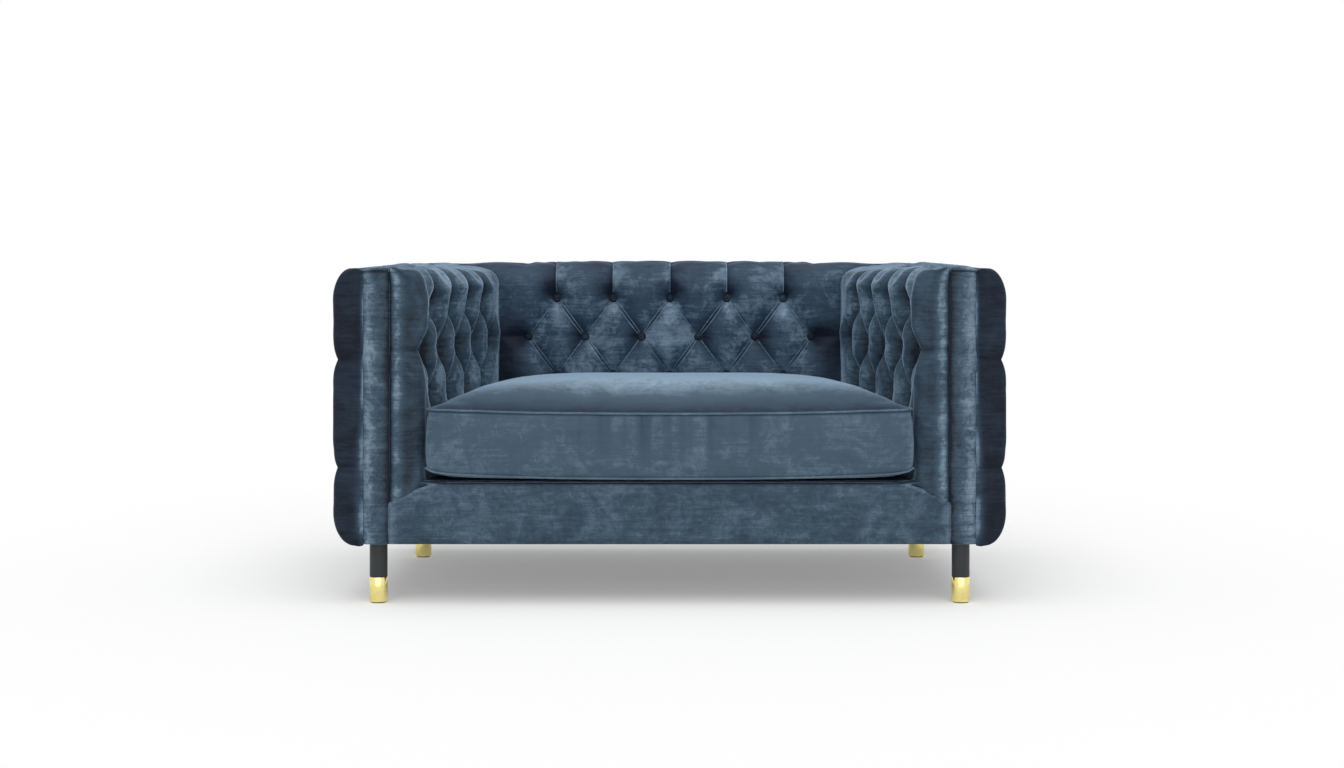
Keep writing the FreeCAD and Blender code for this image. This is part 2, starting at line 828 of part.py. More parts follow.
def suspension():
    """Springs, clips, deck cloth and the pad over them."""
    first, last = spring_span()
    clips = [spring_clip(x, first, 1) for x in spring_places()]
    clips += [spring_clip(x, last, -1) for x in spring_places()]
    deck_front = front + front_roll_depth
    return {
        "zigzag_springs": group([zigzag_spring(x) for x in spring_places()]),
        "spring_clips": group(clips),
        "deck_cloth": box(-arm_in, arm_in, deck_front, back_in, deck_cloth_bottom, deck_bottom),
        "deck_pad": box(-arm_in, arm_in, deck_front, back_in, deck_bottom, deck_top),
    }


def dust_cover():
    """The thin cloth under the frame, cut out round the leg plates."""
    bottom = frame_bottom - dust_cover_thickness
    cloth = box(-arm_out, arm_out, wood_front, back_out, bottom, frame_bottom)
    half = plate_size / 2 + pad_gap
    for x, y in leg_places():
        cloth = cloth.cut(box(x - half, x + half, y - half, y + half, bottom, frame_bottom))
    return cloth


# Loose seat cushion

cushion_bottom = deck_top + cushion_lift
low_piping = cushion_bottom + boxing_lift
high_piping = low_piping + boxing_height
cushion_front = front
cushion_rear = inside_back - cushion_rear_gap
piping_inset = piping_diameter + piping_gap
zip_level = (low_piping + high_piping) / 2
zip_half = back_end - zip_end_margin
# Height from the lower piping as a share of the boxing, and inset at that level
flat_share = zip_tape_height / boxing_height
boxing_belly = [(0.2, 1.5), (0.5 - flat_share, 0.0), (0.5 + flat_share, 0.0), (0.8, 1.5)]
# Height above the upper piping as a share of the crown, and inset at that level
crown_steps = [(0.2, 17.0), (0.38, 38.0), (0.58, 68.0), (0.76, 105.0), (0.9, 150.0), (1.0, 205.0)]
foot_steps = [(0.0, 44.0), (0.35, 18.0)]


def cushion_corners(inset):
    """The four plan corners, inset from the arms and the back."""
    slant = math.hypot(1.0, arm_taper)
    wide = inset * slant + cushion_gap

    def side(y):
        return arm_in - arm_crown(y - front) - wide

    y0, y1 = cushion_front + inset, cushion_rear - inset
    return [(-side(y0), y0), (side(y0), y0), (side(y1), y1), (-side(y1), y1)]


def cushion_outline(z, inset):
    """One plan outline of the cushion, with rounded corners."""
    corners = cushion_corners(inset)
    narrow = corners[2][1] - corners[1][1]
    radius = min(cushion_corner_radius + corner_spread * inset, corner_limit * narrow)
    edges = []
    points = []
    for k in range(4):
        before, here, after = corners[k - 1], corners[k], corners[(k + 1) % 4]
        a = Vector(before[0] - here[0], before[1] - here[1], 0)
        b = Vector(after[0] - here[0], after[1] - here[1], 0)
        a.normalize()
        b.normalize()
        half_angle = a.getAngle(b) / 2
        back = radius / math.tan(half_angle)
        bisector = a + b
        bisector.normalize()
        at = Vector(here[0], here[1], z)
        deep = radius / math.sin(half_angle) - radius
        points.append((at + a * back, at + bisector * deep, at + b * back))
    for k in range(4):
        edges.append(Part.Arc(*points[k]).toShape())
        edges.append(Part.makeLine(points[k][2], points[(k + 1) % 4][0]))
    return Part.Wire(edges)


def cushion_form(shrink):
    """The crowned cushion, smaller all round by a wall thickness."""
    outlines = []
    for share, inset in foot_steps:
        rise = cushion_bottom + shrink + share * (boxing_lift - shrink)
        outlines.append(cushion_outline(rise, inset + shrink))
    outlines.append(cushion_outline(low_piping, piping_inset + shrink))
    for share, inset in boxing_belly:
        outlines.append(cushion_outline(low_piping + share * boxing_height, inset + shrink))
    outlines.append(cushion_outline(high_piping - shrink / 2, piping_inset + shrink))
    for share, inset in crown_steps:
        outlines.append(cushion_outline(high_piping + share * cushion_crown - shrink, inset + shrink))
    return Part.makeLoft(outlines, True, True)


def cushion_piping(z):
    """A round cord sewn along one edge of the boxing."""
    path = cushion_outline(z, piping_diameter / 2)
    start = path.Edges[1].firstVertex().Point
    ahead = path.Edges[1].tangentAt(path.Edges[1].FirstParameter)
    circle = Part.Wire(Part.makeCircle(piping_diameter / 2, start, ahead))
    straight_first = Part.Wire(path.Edges[1:] + path.Edges[:1])
    return straight_first.makePipeShell([circle], True, False)


def cushion_zip():
    """The zip along the cushion's rear boxing: woven tape with a raised chain."""
    tape_half = zip_tape_height / 2
    chain_half = zip_chain_height / 2
    tape_out = cushion_rear + zip_tape
    tape = box(-zip_half, zip_half, cushion_rear, tape_out, zip_level - tape_half, zip_level + tape_half)
    chain_out = tape_out + zip_chain
    chain = box(-zip_half, zip_half, tape_out, chain_out, zip_level - chain_half, zip_level + chain_half)
    return tape.fuse(chain).removeSplitter()


def zip_slider():
    """The slider that straddles the chain, with its hanging pull tab."""
    x0 = -zip_half + slider_gap
    x1 = x0 + slider_length
    tape_face = cushion_rear + zip_tape + slider_gap
    chain_face = cushion_rear + zip_tape + zip_chain + slider_gap
    inner = zip_chain_height / 2 + slider_gap
    outer = inner + slider_wall
    body = box(x0, x1, tape_face, chain_face + slider_wall, zip_level - outer, zip_level + outer)
    body = body.cut(box(x0, x1, tape_face, chain_face, zip_level - inner, zip_level + inner))
    middle = (x0 + x1) / 2
    tab_half = slider_tab_width / 2
    face = chain_face + slider_wall
    tab = box(middle - tab_half, middle + tab_half, face, face + slider_wall,
              zip_level - slider_tab_length, zip_level + outer / 2)
    return body.fuse(tab).removeSplitter()


def cushion_nodes():
    """The pieces that lift out together."""
    outer = cushion_form(0.0)
    return {
        "seat_cushion_cover": outer.cut(cushion_form(cushion_cover)),
        "seat_cushion_core": cushion_form(cushion_cover + cover_gap),
        "seat_cushion_piping": group([cushion_piping(low_piping), cushion_piping(high_piping)]),
        "cushion_zip": cushion_zip(),
        "zip_slider": zip_slider(),
    }


# Legs

def leg_places():
    """X and Y of the four legs."""
    front_y = front + front_leg_setback
    rear_y = rear - rear_leg_inset
    rear_x = arm_middle - rear_leg_inboard
    return [(-arm_middle, front_y), (arm_middle, front_y), (-rear_x, rear_y), (rear_x, rear_y)]


def screw_spots(x, y):
    """The four screws of one leg plate."""
    half = plate_hole_spacing / 2
    return [(x + i * half, y + j * half) for i in (-1, 1) for j in (-1, 1)]


def leg_shaft(x, y):
    """A turned leg with a spigot for its ferrule and a hole for its hanger bolt."""
    ferrule_top = glide_thickness + ferrule_height
    spigot_bottom = glide_thickness + ferrule_floor + ferrule_gap
    shaft = rod(leg_diameter, Vector(x, y, ferrule_top), UP, leg_height - ferrule_top)
    spigot_diameter = ferrule_diameter - 2 * ferrule_wall - 2 * ferrule_gap
    spigot = rod(spigot_diameter, Vector(x, y, spigot_bottom), UP, ferrule_top - spigot_bottom)
    bore_bottom = leg_height - hanger_bolt_depth - thread_gap
    bore = rod(bolt_diameter + 2 * thread_gap, Vector(x, y, bore_bottom), UP, leg_height - bore_bottom)
    return shaft.fuse(spigot).removeSplitter().cut(bore)


def leg_ferrule(x, y):
    """A brass cup over the foot of the leg, with a softened lower edge."""
    r = ferrule_diameter / 2
    bore = r - ferrule_wall
    low, high = glide_thickness, glide_thickness + ferrule_height
    floor = low + ferrule_floor
    edge = min(ferrule_edge, ferrule_wall)
    bend = edge * (1 - math.sqrt(0.5))
    corners = [
        Vector(0, 0, low),
        Vector(r - edge, 0, low),
        Vector(r, 0, low + edge),
        Vector(r, 0, high),
        Vector(bore, 0, high),
        Vector(bore, 0, floor),
        Vector(0, 0, floor),
    ]
    edges = [Part.makeLine(a, b) for a, b in zip(corners, corners[1:] + corners[:1])]
    edges[1] = Part.Arc(corners[1], Vector(r - bend, 0, low + bend), corners[2]).toShape()
    cup = Part.Face(Part.Wire(edges)).revolve(Vector(0, 0, 0), UP, 360)
    return cup.translated(Vector(x, y, 0))


def leg_plate(x, y):
    """A steel plate with a threaded boss, screwed up under the frame."""
    half = plate_size / 2
    plate = box(x - half, x + half, y - half, y + half, leg_height, frame_bottom)
    plate = plate.fuse(rod(boss_diameter, Vector(x, y, frame_bottom), UP, boss_height)).removeSplitter()
    bore = bolt_diameter + 2 * thread_gap
    plate = plate.cut(rod(bore, Vector(x, y, leg_height), UP, plate_thickness + boss_height))
    for spot in screw_spots(x, y):
        plate = plate.cut(screw(spot, screw_gap))
    return plate


def screw(spot, grow):
    """A countersunk wood screw through the plate, or its hole when grown."""
    r = screw_diameter / 2 + grow
    head = screw_head_diameter / 2 + grow
    sink = head - r
    start = Vector(spot[0], spot[1], leg_height)
    cone = Part.makeCone(head, r, sink, start, UP)
    shank = Part.makeCylinder(r, plate_thickness + screw_length - sink, start + UP * sink, UP)
    return cone.fuse(shank).removeSplitter()


def leg_nodes():
    """Legs, ferrules, glides and what fixes them."""
    places = leg_places()
    bolt_bottom = leg_height - hanger_bolt_depth
    bolt_length = hanger_bolt_depth + plate_thickness + boss_height
    return {
        "leg_shafts": group([leg_shaft(x, y) for x, y in places]),
        "leg_ferrules": group([leg_ferrule(x, y) for x, y in places]),
        "leg_glides": group([
            rod(glide_diameter, Vector(x, y, 0), UP, glide_thickness) for x, y in places]),
        "leg_plates": group([leg_plate(x, y) for x, y in places]),
        "leg_hanger_bolts": group([
            rod(bolt_diameter, Vector(x, y, bolt_bottom), UP, bolt_length) for x, y in places]),
        "leg_plate_screws": group([
            screw(spot, 0.0) for x, y in places for spot in screw_spots(x, y)]),
    }


def upholstery_nodes():
    """Pads, buttons and borders, right-hand pieces mirrored to the left."""
    nodes = {}
    nodes["inside_back_pad"], nodes["inside_back_buttons"] = inside_back_pad()
    nodes["outside_back_pad"], nodes["outside_back_buttons"] = outside_back_pad()
    for name, maker in (("inside_arm", inside_arm_pad), ("outside_arm", outside_arm_pad)):
        pad, buttons = maker()
        nodes[name + "_pad_right"], nodes[name + "_buttons_right"] = pad, buttons
        nodes[name + "_pad_left"], nodes[name + "_buttons_left"] = mirrored(pad), mirrored(buttons)
    nodes["arm_border_right"] = arm_border()
    nodes["arm_border_left"] = mirrored(nodes["arm_border_right"])
    nodes["back_border"] = back_border()
    nodes["front_border"] = front_border()
    nodes["dust_cover"] = dust_cover()
    return nodes


def main():
    """Build every node and write one STEP file for each."""
    nodes = {}
    for maker in (frame_nodes, frame_hardware, suspension, upholstery_nodes, cushion_nodes, leg_nodes):
        nodes.update(maker())
    os.makedirs("parts", exist_ok=True)
    for name, shape in nodes.items():
        shape.exportStep("parts/" + name + ".step")
        faults = "" if shape.isValid() else " NOT VALID"
        print(f"{name}: {len(shape.Solids)} solids, {shape.Volume / 1e6:.3f} litres{faults}")
    print(f"least gap of a spring to itself: {spring_self_gap():.1f} mm")
    print(len(nodes), "nodes")


main()
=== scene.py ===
"""Looks of a square-armed velvet chesterfield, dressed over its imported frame, in metres."""

import json
import logging
import math
from dataclasses import dataclass, field
from enum import Enum
from typing import Any, Callable, Sequence

import bmesh
import bpy
import numpy as np
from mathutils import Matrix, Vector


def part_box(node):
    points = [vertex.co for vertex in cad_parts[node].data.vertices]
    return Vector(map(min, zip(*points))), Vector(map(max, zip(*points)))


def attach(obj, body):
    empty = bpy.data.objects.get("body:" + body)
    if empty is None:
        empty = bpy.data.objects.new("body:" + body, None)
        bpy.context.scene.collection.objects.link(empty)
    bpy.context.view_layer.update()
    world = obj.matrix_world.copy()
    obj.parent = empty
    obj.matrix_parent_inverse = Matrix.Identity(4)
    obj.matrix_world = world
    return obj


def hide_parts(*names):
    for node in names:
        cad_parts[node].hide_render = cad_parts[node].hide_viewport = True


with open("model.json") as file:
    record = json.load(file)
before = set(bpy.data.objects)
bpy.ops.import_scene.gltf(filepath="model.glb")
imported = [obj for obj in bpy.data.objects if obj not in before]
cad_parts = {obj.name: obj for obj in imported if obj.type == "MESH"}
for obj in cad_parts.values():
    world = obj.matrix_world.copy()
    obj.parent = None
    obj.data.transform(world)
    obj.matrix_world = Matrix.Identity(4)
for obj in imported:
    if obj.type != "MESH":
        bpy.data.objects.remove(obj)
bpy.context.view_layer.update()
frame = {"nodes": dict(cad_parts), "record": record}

LOG = logging.getLogger("chesterfield")
Array = np.ndarray
Grids = tuple[Array, Array]
Pair = tuple[float, float]
Triple = tuple[float, float, float]
Colour = Triple
Material = bpy.types.Material
Piece = bpy.types.Object


class Body(Enum):
    """The bodies that the dressed pieces ride on."""

    SOFA = "sofa"
    CUSHION = "seat_cushion"


class Side(Enum):
    """Which arm a piece belongs to, as the sign of X."""

    LEFT = -1
    RIGHT = 1

    @property
    def word(self) -> str:
        """The side's name, as the CAD nodes spell it."""
        return self.name.lower()

    @property
    def mirror(self) -> Array:
        """Factors that turn a right-hand piece into one for this side."""
        return np.array([self.value, 1.0, 1.0])


def tone(*display: int) -> Colour:
    """A linear colour from its display values of red, green and blue, 0 to 255."""
    shares = [value / 255.0 for value in display]
    return tuple(s / 12.92 if s <= 0.04045 else ((s + 0.055) / 1.055) ** 2.4 for s in shares)


# Node trees written as expressions


def operator(operation: str, reflected: bool = False) -> Callable[["Wire", Any], "Wire"]:
    """A method that joins a wire and another value by one Math node.

    Args:
        operation: The Math node's operation.
        reflected: Whether the wire stands on the right.

    Returns:
        The method.
    """
    def method(wire: "Wire", other: Any) -> "Wire":
        """The wire and the other value, joined."""
        pair = (other, wire) if reflected else (wire, other)
        return wire.net.node("ShaderNodeMath", {"operation": operation}, dict(enumerate(pair)))

    return method


class Wire:
    """One output socket of a node tree, used in Python arithmetic."""

    def __init__(self, net: "Net", socket: bpy.types.NodeSocket) -> None:
        """Keep the socket with the tree that it belongs to."""
        self.net = net
        self.socket = socket

    __add__ = operator("ADD")
    __radd__ = operator("ADD", True)
    __sub__ = operator("SUBTRACT")
    __rsub__ = operator("SUBTRACT", True)
    __mul__ = operator("MULTIPLY")
    __rmul__ = operator("MULTIPLY", True)
    at_least = operator("MAXIMUM")
    at_most = operator("MINIMUM")


class Net:
    """A node tree with one method that adds any node."""

    def __init__(self, tree: bpy.types.NodeTree) -> None:
        """Keep the tree."""
        self.tree = tree

    def feed(self, node: bpy.types.Node, inputs: dict) -> None:
        """Set or link a node's sockets.

        Args:
            node: The node.
            inputs: A value or Wire for each socket, by name or number.
        """
        for key, value in inputs.items():
            if isinstance(value, Wire):
                self.tree.links.new(value.socket, node.inputs[key])
            else:
                node.inputs[key].default_value = value

    def node(self, kind: str, settings: dict | None = None, inputs: dict | None = None,
             output: int = 0) -> Wire:
        """Add a node, with its settings first and then the values or links of its sockets.

        Args:
            kind: The node's type name.
            settings: Its properties, with a ramp's colours as stops.
            inputs: A value or Wire for each socket, by name or number.
            output: The output socket to return.

        Returns:
            The chosen output.
        """
        made = self.tree.nodes.new(kind)
        for key, value in (settings or {}).items():
            if key == "stops":
                elements = made.color_ramp.elements
                for _ in value[len(elements):]:
                    elements.new(1.0)
                for element, (place, colour) in zip(elements, value):
                    element.position = place
                    element.color = (*colour, 1.0)
            else:
                setattr(made, key, value)
        self.feed(made, inputs or {})
        return Wire(self, made.outputs[output])


class Shader(Net):
    """A material's tree round its one Principled shader."""

    def __init__(self, name: str) -> None:
        """Make the material.

        Args:
            name: The material's name.
        """
        self.material = bpy.data.materials.new(name)
        self.material.use_nodes = True
        super().__init__(self.material.node_tree)
        self.surface = self.tree.nodes["Principled BSDF"]

    def coords(self, stretch: Sequence[float] = (1.0, 1.0, 1.0)) -> Wire:
        """Object coordinates, stretched.

        Args:
            stretch: Factor on each axis.

        Returns:
            The coordinates.
        """
        plain = self.node("ShaderNodeTexCoord", output=3)
        return self.node("ShaderNodeMapping", inputs={"Vector": plain, "Scale": tuple(stretch)})

    def noise(self, at: Wire, scale: float, detail: float = 2.0, roughness: float = 0.5,
              distortion: float = 0.0) -> Wire:
        """Soft noise, from 0 to 1.

        Args:
            at: Coordinates.
            scale: Waves to a metre.
            detail: Octaves.
            roughness: Share of each further octave.
            distortion: How far the noise bends itself.

        Returns:
            The noise value.
        """
        inputs = {"Vector": at, "Scale": scale, "Detail": detail, "Roughness": roughness,
                  "Distortion": distortion}
        return self.node("ShaderNodeTexNoise", None, inputs)

    def attribute(self, name: str) -> Wire:
        """A number that the mesh carries on its points."""
        return self.node("ShaderNodeAttribute", {"attribute_name": name}, output=2)

    def ramp(self, value: Wire, stops: Sequence[tuple[float, Colour]]) -> Wire:
        """A colour for a value."""
        return self.node("ShaderNodeValToRGB", {"stops": stops}, {"Fac": value})

    def bump(self, height: Wire, strength: float, depth: float) -> Wire:
        """A surface normal from a height, with its depth in metres."""
        inputs = {"Height": height, "Strength": strength, "Distance": depth}
        return self.node("ShaderNodeBump", None, inputs)

    def dress(self, sockets: dict[str, Any]) -> Material:
        """Set or link the shader's own sockets, and hand over the material."""
        self.feed(self.surface, sockets)
        return self.material


# Finishes


class Finish:
    """Something that makes one material and then shares it."""

    name: str

    def material(self) -> Material:
        """The material, made at its first use."""
        return bpy.data.materials.get(self.name) or self.make(Shader(self.name))

    def make(self, shader: Shader) -> Material:
        """Fill the shader."""
        raise NotImplementedError


@dataclass(frozen=True)
class Velvet(Finish):
    """Crushed velvet: a short pile whose lie makes it light or dark, with painted light and shade read
    from the mesh.
    """

    name: str
    deep: Colour
    body: Colour
    bright: Colour
    patch: float = 9.0
    crush: float = 3.8
    bars: float = 110.0
    grain: float = 460.0
    pile: float = 1400.0
    pile_depth: float = 0.0016
    contrast: float = 2.3
    crease_shade: float = 0.12
    brush_and_painted_light: float = 0.22
    sheen: float = 0.9
    rim: Colour = tone(160, 190, 222)

    def make(self, shader: Shader) -> Material:
        """Fill the shader with crushed patches, weave bars, pile, painted shade in the creases and the
        mesh's painted light and shade.

        Args:
            shader: The empty shader.

        Returns:
            The velvet.
        """
        at = shader.coords()
        patches = shader.noise(at, self.patch, 5.0, 0.62, 0.8)
        crush = shader.noise(at, self.patch * self.crush, 4.0, 0.6, 1.5)
        bars = shader.noise(shader.coords((0.16, 0.16, 1.6)), self.bars, 4.0, 0.65)
        grain = shader.noise(at, self.grain, 2.0, 0.6)
        valley = shader.attribute("valley")
        brush_and_painted_light = shader.attribute("nap")
        nap = 0.40 * patches + 0.24 * crush + 0.22 * bars + 0.14 * grain
        spread = (nap - 0.5) * self.contrast + 0.5
        # Painted shade: the colour is darkened in the pleats' valleys, where shade falls.
        nap_with_painted_light = spread - self.crease_shade * valley
        # Painted light and shade from the mesh, with the lightening beside the buttons, moves the colour
        # towards the deep or the bright tone.
        nap_with_painted_light = nap_with_painted_light + self.brush_and_painted_light * brush_and_painted_light * (crush + 0.4)
        colour = shader.ramp(nap_with_painted_light, [(0.08, self.deep), (0.5, self.body), (0.95, self.bright)])
        pile = shader.noise(at, self.pile, 1.0, 0.5)
        height = 0.5 * grain + 0.3 * pile + 0.9 * crush
        return shader.dress({
            "Base Color": colour,
            "Roughness": 0.66 + 0.3 * (patches - 0.5) + 0.1 * grain,
            "Normal": shader.bump(height, 0.35, self.pile_depth),
            "Specular IOR Level": 0.22,
            "Sheen Weight": self.sheen,
            "Sheen Roughness": 0.26,
            "Sheen Tint": (*self.rim, 1.0),
        })


@dataclass(frozen=True)
class Lacquer(Finish):
    """Satin charcoal lacquer on turned wood, with a trace of grain and handling marks."""

    name: str = "charcoal_lacquer"
    body: Colour = tone(22, 27, 29)
    worn: Colour = tone(36, 41, 43)

    def make(self, shader: Shader) -> Material:
        """Fill the shader with upright grain and soft smudges.

        Args:
            shader: The empty shader.

        Returns:
            The lacquer.
        """
        grain = shader.noise(shader.coords((1.0, 1.0, 0.04)), 420.0, 3.0, 0.6)
        smudge = shader.noise(shader.coords(), 46.0, 4.0, 0.55)
        colour = shader.ramp(0.6 * grain + 0.4 * smudge, [(0.3, self.body), (0.8, self.worn)])
        return shader.dress({
            "Base Color": colour,
            "Roughness": 0.46 + 0.18 * smudge,
            "Normal": shader.bump(grain, 0.12, 0.0004),
            "Coat Weight": 0.05,
            "Coat Roughness": 0.2,
        })


@dataclass(frozen=True)
class Metal(Finish):
    """A metal with fine turning marks and small stains."""

    name: str
    body: Colour
    stain: Colour
    roughness: float
    lines: Sequence[float] = (0.05, 0.05, 1.0)
    line_scale: float = 900.0

    def make(self, shader: Shader) -> Material:
        """Fill the shader with turning lines and stains.

        Args:
            shader: The empty shader.

        Returns:
            The metal.
        """
        turned = shader.noise(shader.coords(self.lines), self.line_scale, 2.0, 0.5)
        clouds = shader.noise(shader.coords(), 60.0, 4.0, 0.6)
        colour = shader.ramp(clouds, [(0.25, self.stain), (0.6, self.body)])
        return shader.dress({
            "Base Color": colour,
            "Metallic": 1.0,
            "Roughness": self.roughness + 0.12 * (turned - 0.5) + 0.1 * (clouds - 0.5),
            "Normal": shader.bump(turned, 0.06, 0.0002),
        })


@dataclass(frozen=True)
class Timber(Finish):
    """Sawn or peeled wood with rings drawn out along one axis."""

    name: str
    early: Colour
    late: Colour
    along: Sequence[float]
    rings: float = 55.0

    def make(self, shader: Shader) -> Material:
        """Fill the shader with drawn-out rings and pores.

        Args:
            shader: The empty shader.

        Returns:
            The wood.
        """
        at = shader.coords(self.along)
        rings = shader.noise(at, self.rings, 4.0, 0.55, 1.2)
        pores = shader.noise(at, self.rings * 9.0, 2.0, 0.6)
        figure = 0.75 * rings + 0.25 * pores
        colour = shader.ramp(figure, [(0.32, self.late), (0.62, self.early)])
        return shader.dress({
            "Base Color": colour,
            "Roughness": 0.62 + 0.2 * pores,
            "Normal": shader.bump(figure, 0.2, 0.0006),
        })


@dataclass(frozen=True)
class Woven(Finish):
    """A plain woven or pressed cloth: warp and weft over soft mottling."""

    name: str
    body: Colour
    thread: Colour
    pitch: float = 900.0

    def make(self, shader: Shader) -> Material:
        """Fill the shader with crossing threads.

        Args:
            shader: The empty shader.

        Returns:
            The cloth.
        """
        warp = shader.noise(shader.coords((1.0, 0.06, 0.06)), self.pitch, 1.0, 0.5)
        weft = shader.noise(shader.coords((0.06, 1.0, 1.0)), self.pitch, 1.0, 0.5)
        mottle = shader.noise(shader.coords(), 30.0, 4.0, 0.6)
        weave = 0.5 * warp + 0.5 * weft
        colour = shader.ramp(0.7 * weave + 0.3 * mottle, [(0.35, self.body), (0.65, self.thread)])
        return shader.dress({
            "Base Color": colour,
            "Roughness": 0.78 + 0.15 * weave,
            "Normal": shader.bump(weave, 0.35, 0.0006),
            "Specular IOR Level": 0.25,
        })


@dataclass(frozen=True)
class Moulded(Finish):
    """Moulded plastic or foam: fine cells and a little mottling."""

    name: str
    body: Colour
    shade: Colour
    cell: float
    roughness: float

    def make(self, shader: Shader) -> Material:
        """Fill the shader with fine cells.

        Args:
            shader: The empty shader.

        Returns:
            The material.
        """
        cells = shader.noise(shader.coords(), self.cell, 3.0, 0.6)
        mottle = shader.noise(shader.coords(), 24.0, 3.0, 0.5)
        colour = shader.ramp(0.5 * cells + 0.5 * mottle, [(0.35, self.shade), (0.62, self.body)])
        return shader.dress({
            "Base Color": colour,
            "Roughness": self.roughness + 0.1 * cells,
            "Normal": shader.bump(cells, 0.2, 0.0004),
        })


# One velvet covers the whole sofa. These copies are toned lighter or darker part by part to paint in the
# light and shade that each part gets: the outside pads' deep tone darkens their fronts, the buttons are
# darkened in their pockets and the pleat folds are lightened as painted highlights.
VELVET_INSIDE = Velvet(
    "velvet_inside", tone(14, 24, 41), tone(51, 70, 88), tone(126, 150, 170),
    contrast=1.9, brush_and_painted_light=0.44)
VELVET_ARM = Velvet(
    "velvet_arm", tone(9, 17, 30), tone(56, 76, 92), tone(140, 165, 184),
    contrast=1.9, crease_shade=0.42, brush_and_painted_light=0.44, rim=tone(182, 210, 240))
VELVET_OUTSIDE = Velvet(
    "velvet_outside", tone(1, 9, 25), tone(43, 61, 78), tone(118, 142, 162),
    contrast=1.6, brush_and_painted_light=0.5, sheen=0.3)
VELVET_BORDER = Velvet(
    "velvet_border", tone(16, 25, 36), tone(60, 79, 95), tone(124, 145, 162), patch=13.0, brush_and_painted_light=0.34)
VELVET_FRONT = Velvet(
    "velvet_front", tone(24, 36, 49), tone(52, 70, 85), tone(93, 113, 129), patch=11.0)
VELVET_CUSHION = Velvet(
    "velvet_cushion", tone(24, 40, 58), tone(63, 82, 97), tone(136, 160, 178),
    contrast=0.85, brush_and_painted_light=0.5)
VELVET_PIPING = Velvet(
    "velvet_piping", tone(42, 58, 72), tone(74, 93, 108), tone(116, 136, 151), contrast=1.5)
VELVET_BUTTON = Velvet(
    "velvet_button", tone(5, 9, 17), tone(18, 29, 43), tone(92, 113, 133), contrast=1.3, sheen=0.6)
VELVET_FOLD = Velvet("velvet_fold", tone(50, 68, 86), tone(94, 115, 134), tone(146, 167, 185))
LEG_LACQUER = Lacquer()
BRASS = Metal("polished_brass", tone(243, 229, 156), tone(232, 212, 132), 0.20)
STEEL = Metal("zinc_steel", tone(176, 178, 180), tone(138, 140, 143), 0.42, (1.0, 1.0, 1.0), 300.0)
SPRING_STEEL = Metal("spring_steel", tone(96, 98, 102), tone(66, 66, 68), 0.45, (1.0, 1.0, 1.0))
ZIP_METAL = Metal("zip_metal", tone(150, 148, 140), tone(118, 114, 104), 0.33, (1.0, 1.0, 1.0))
TIMBER = Timber("frame_timber", tone(206, 174, 128), tone(170, 132, 88), (0.12, 0.5, 1.0))
PLYWOOD = Timber("plywood", tone(214, 188, 146), tone(184, 150, 104), (1.0, 0.1, 0.5), 30.0)
DOWEL = Timber("dowel_beech", tone(216, 178, 134), tone(186, 142, 98), (0.15, 0.15, 1.0), 140.0)
LINING = Woven("black_lining", tone(22, 22, 24), tone(44, 44, 47))
DECK_CLOTH = Woven("deck_cloth", tone(40, 52, 64), tone(66, 80, 94), 700.0)
ZIP_TAPE = Woven("zip_tape", tone(30, 40, 52), tone(54, 67, 81), 1500.0)
NYLON = Moulded("glide_nylon", tone(34, 34, 36), tone(24, 24, 26), 700.0, 0.5)


# Formulas that the shapes share


def capped(values: Array) -> Array:
    """Values held between 0 and 1."""
    return np.clip(values, 0.0, 1.0)


def bell(away: Array, width: Any) -> Array:
    """1 in the middle, falling off smoothly on both sides."""
    return np.exp(-((away / width) ** 2))


def fading(away: Array, reach: float) -> Array:
    """1 at the start, falling off over a reach."""
    return np.exp(-away / reach)


def vectors(x: Any, y: Any, z: Any) -> Array:
    """Points from their coordinates, any of which may be one number for all."""
    return np.stack(np.broadcast_arrays(x, y, z), axis=-1)


# Meshes


def grid_quads(rows: int, columns: int) -> Array:
    """Four corner numbers for each cell of a grid of points.

    Args:
        rows: Points up the grid.
        columns: Points along it.

    Returns:
        One row of four numbers for each cell.
    """
    number = np.arange(rows * columns).reshape(rows, columns)
    corners = (number[:-1, :-1], number[:-1, 1:], number[1:, 1:], number[1:, :-1])
    return np.stack(corners, axis=-1).reshape(-1, 4)


def grid_rim(rows: int, columns: int) -> Array:
    """Numbers of the points round a grid's edge, in order."""
    number = np.arange(rows * columns).reshape(rows, columns)
    return np.concatenate([number[0, :-1], number[:-1, -1], number[-1, :0:-1], number[:0:-1, 0]])


def rim_held(hold: Array) -> Array:
    """A grid of holds, 0 to 1, made firm all round its edge."""
    return np.pad(hold[1:-1, 1:-1], 1, constant_values=1.0)


def grid_normals(points: Array, outward: Sequence[float]) -> Array:
    """Unit normals of a grid of points, on the side of a given direction.

    Args:
        points: Rows by columns by three.
        outward: Roughly the way that the grid's middle faces.

    Returns:
        One normal for each point.
    """
    along = np.gradient(points, axis=1)
    up = np.gradient(points, axis=0)
    normal = np.cross(along, up)
    length = np.linalg.norm(normal, axis=-1, keepdims=True)
    normal = normal / np.maximum(length, 1e-12)
    middle = normal[normal.shape[0] // 2, normal.shape[1] // 2]
    return normal if float(np.dot(middle, outward)) > 0 else -normal


def finer(coarse: Array, rows: int, columns: int) -> Array:
    """A grid of vectors read at more points, along smooth curves.

    Args:
        coarse: Rows by columns by three.
        rows: Rows to read.
        columns: Columns to read.

    Returns:
        The finer grid.
    """
    upright = spline_weights(coarse.shape[0], rows)
    level = spline_weights(coarse.shape[1], columns)
    return np.einsum("ri,ijk,cj->rck", upright, coarse, level, optimize=True)


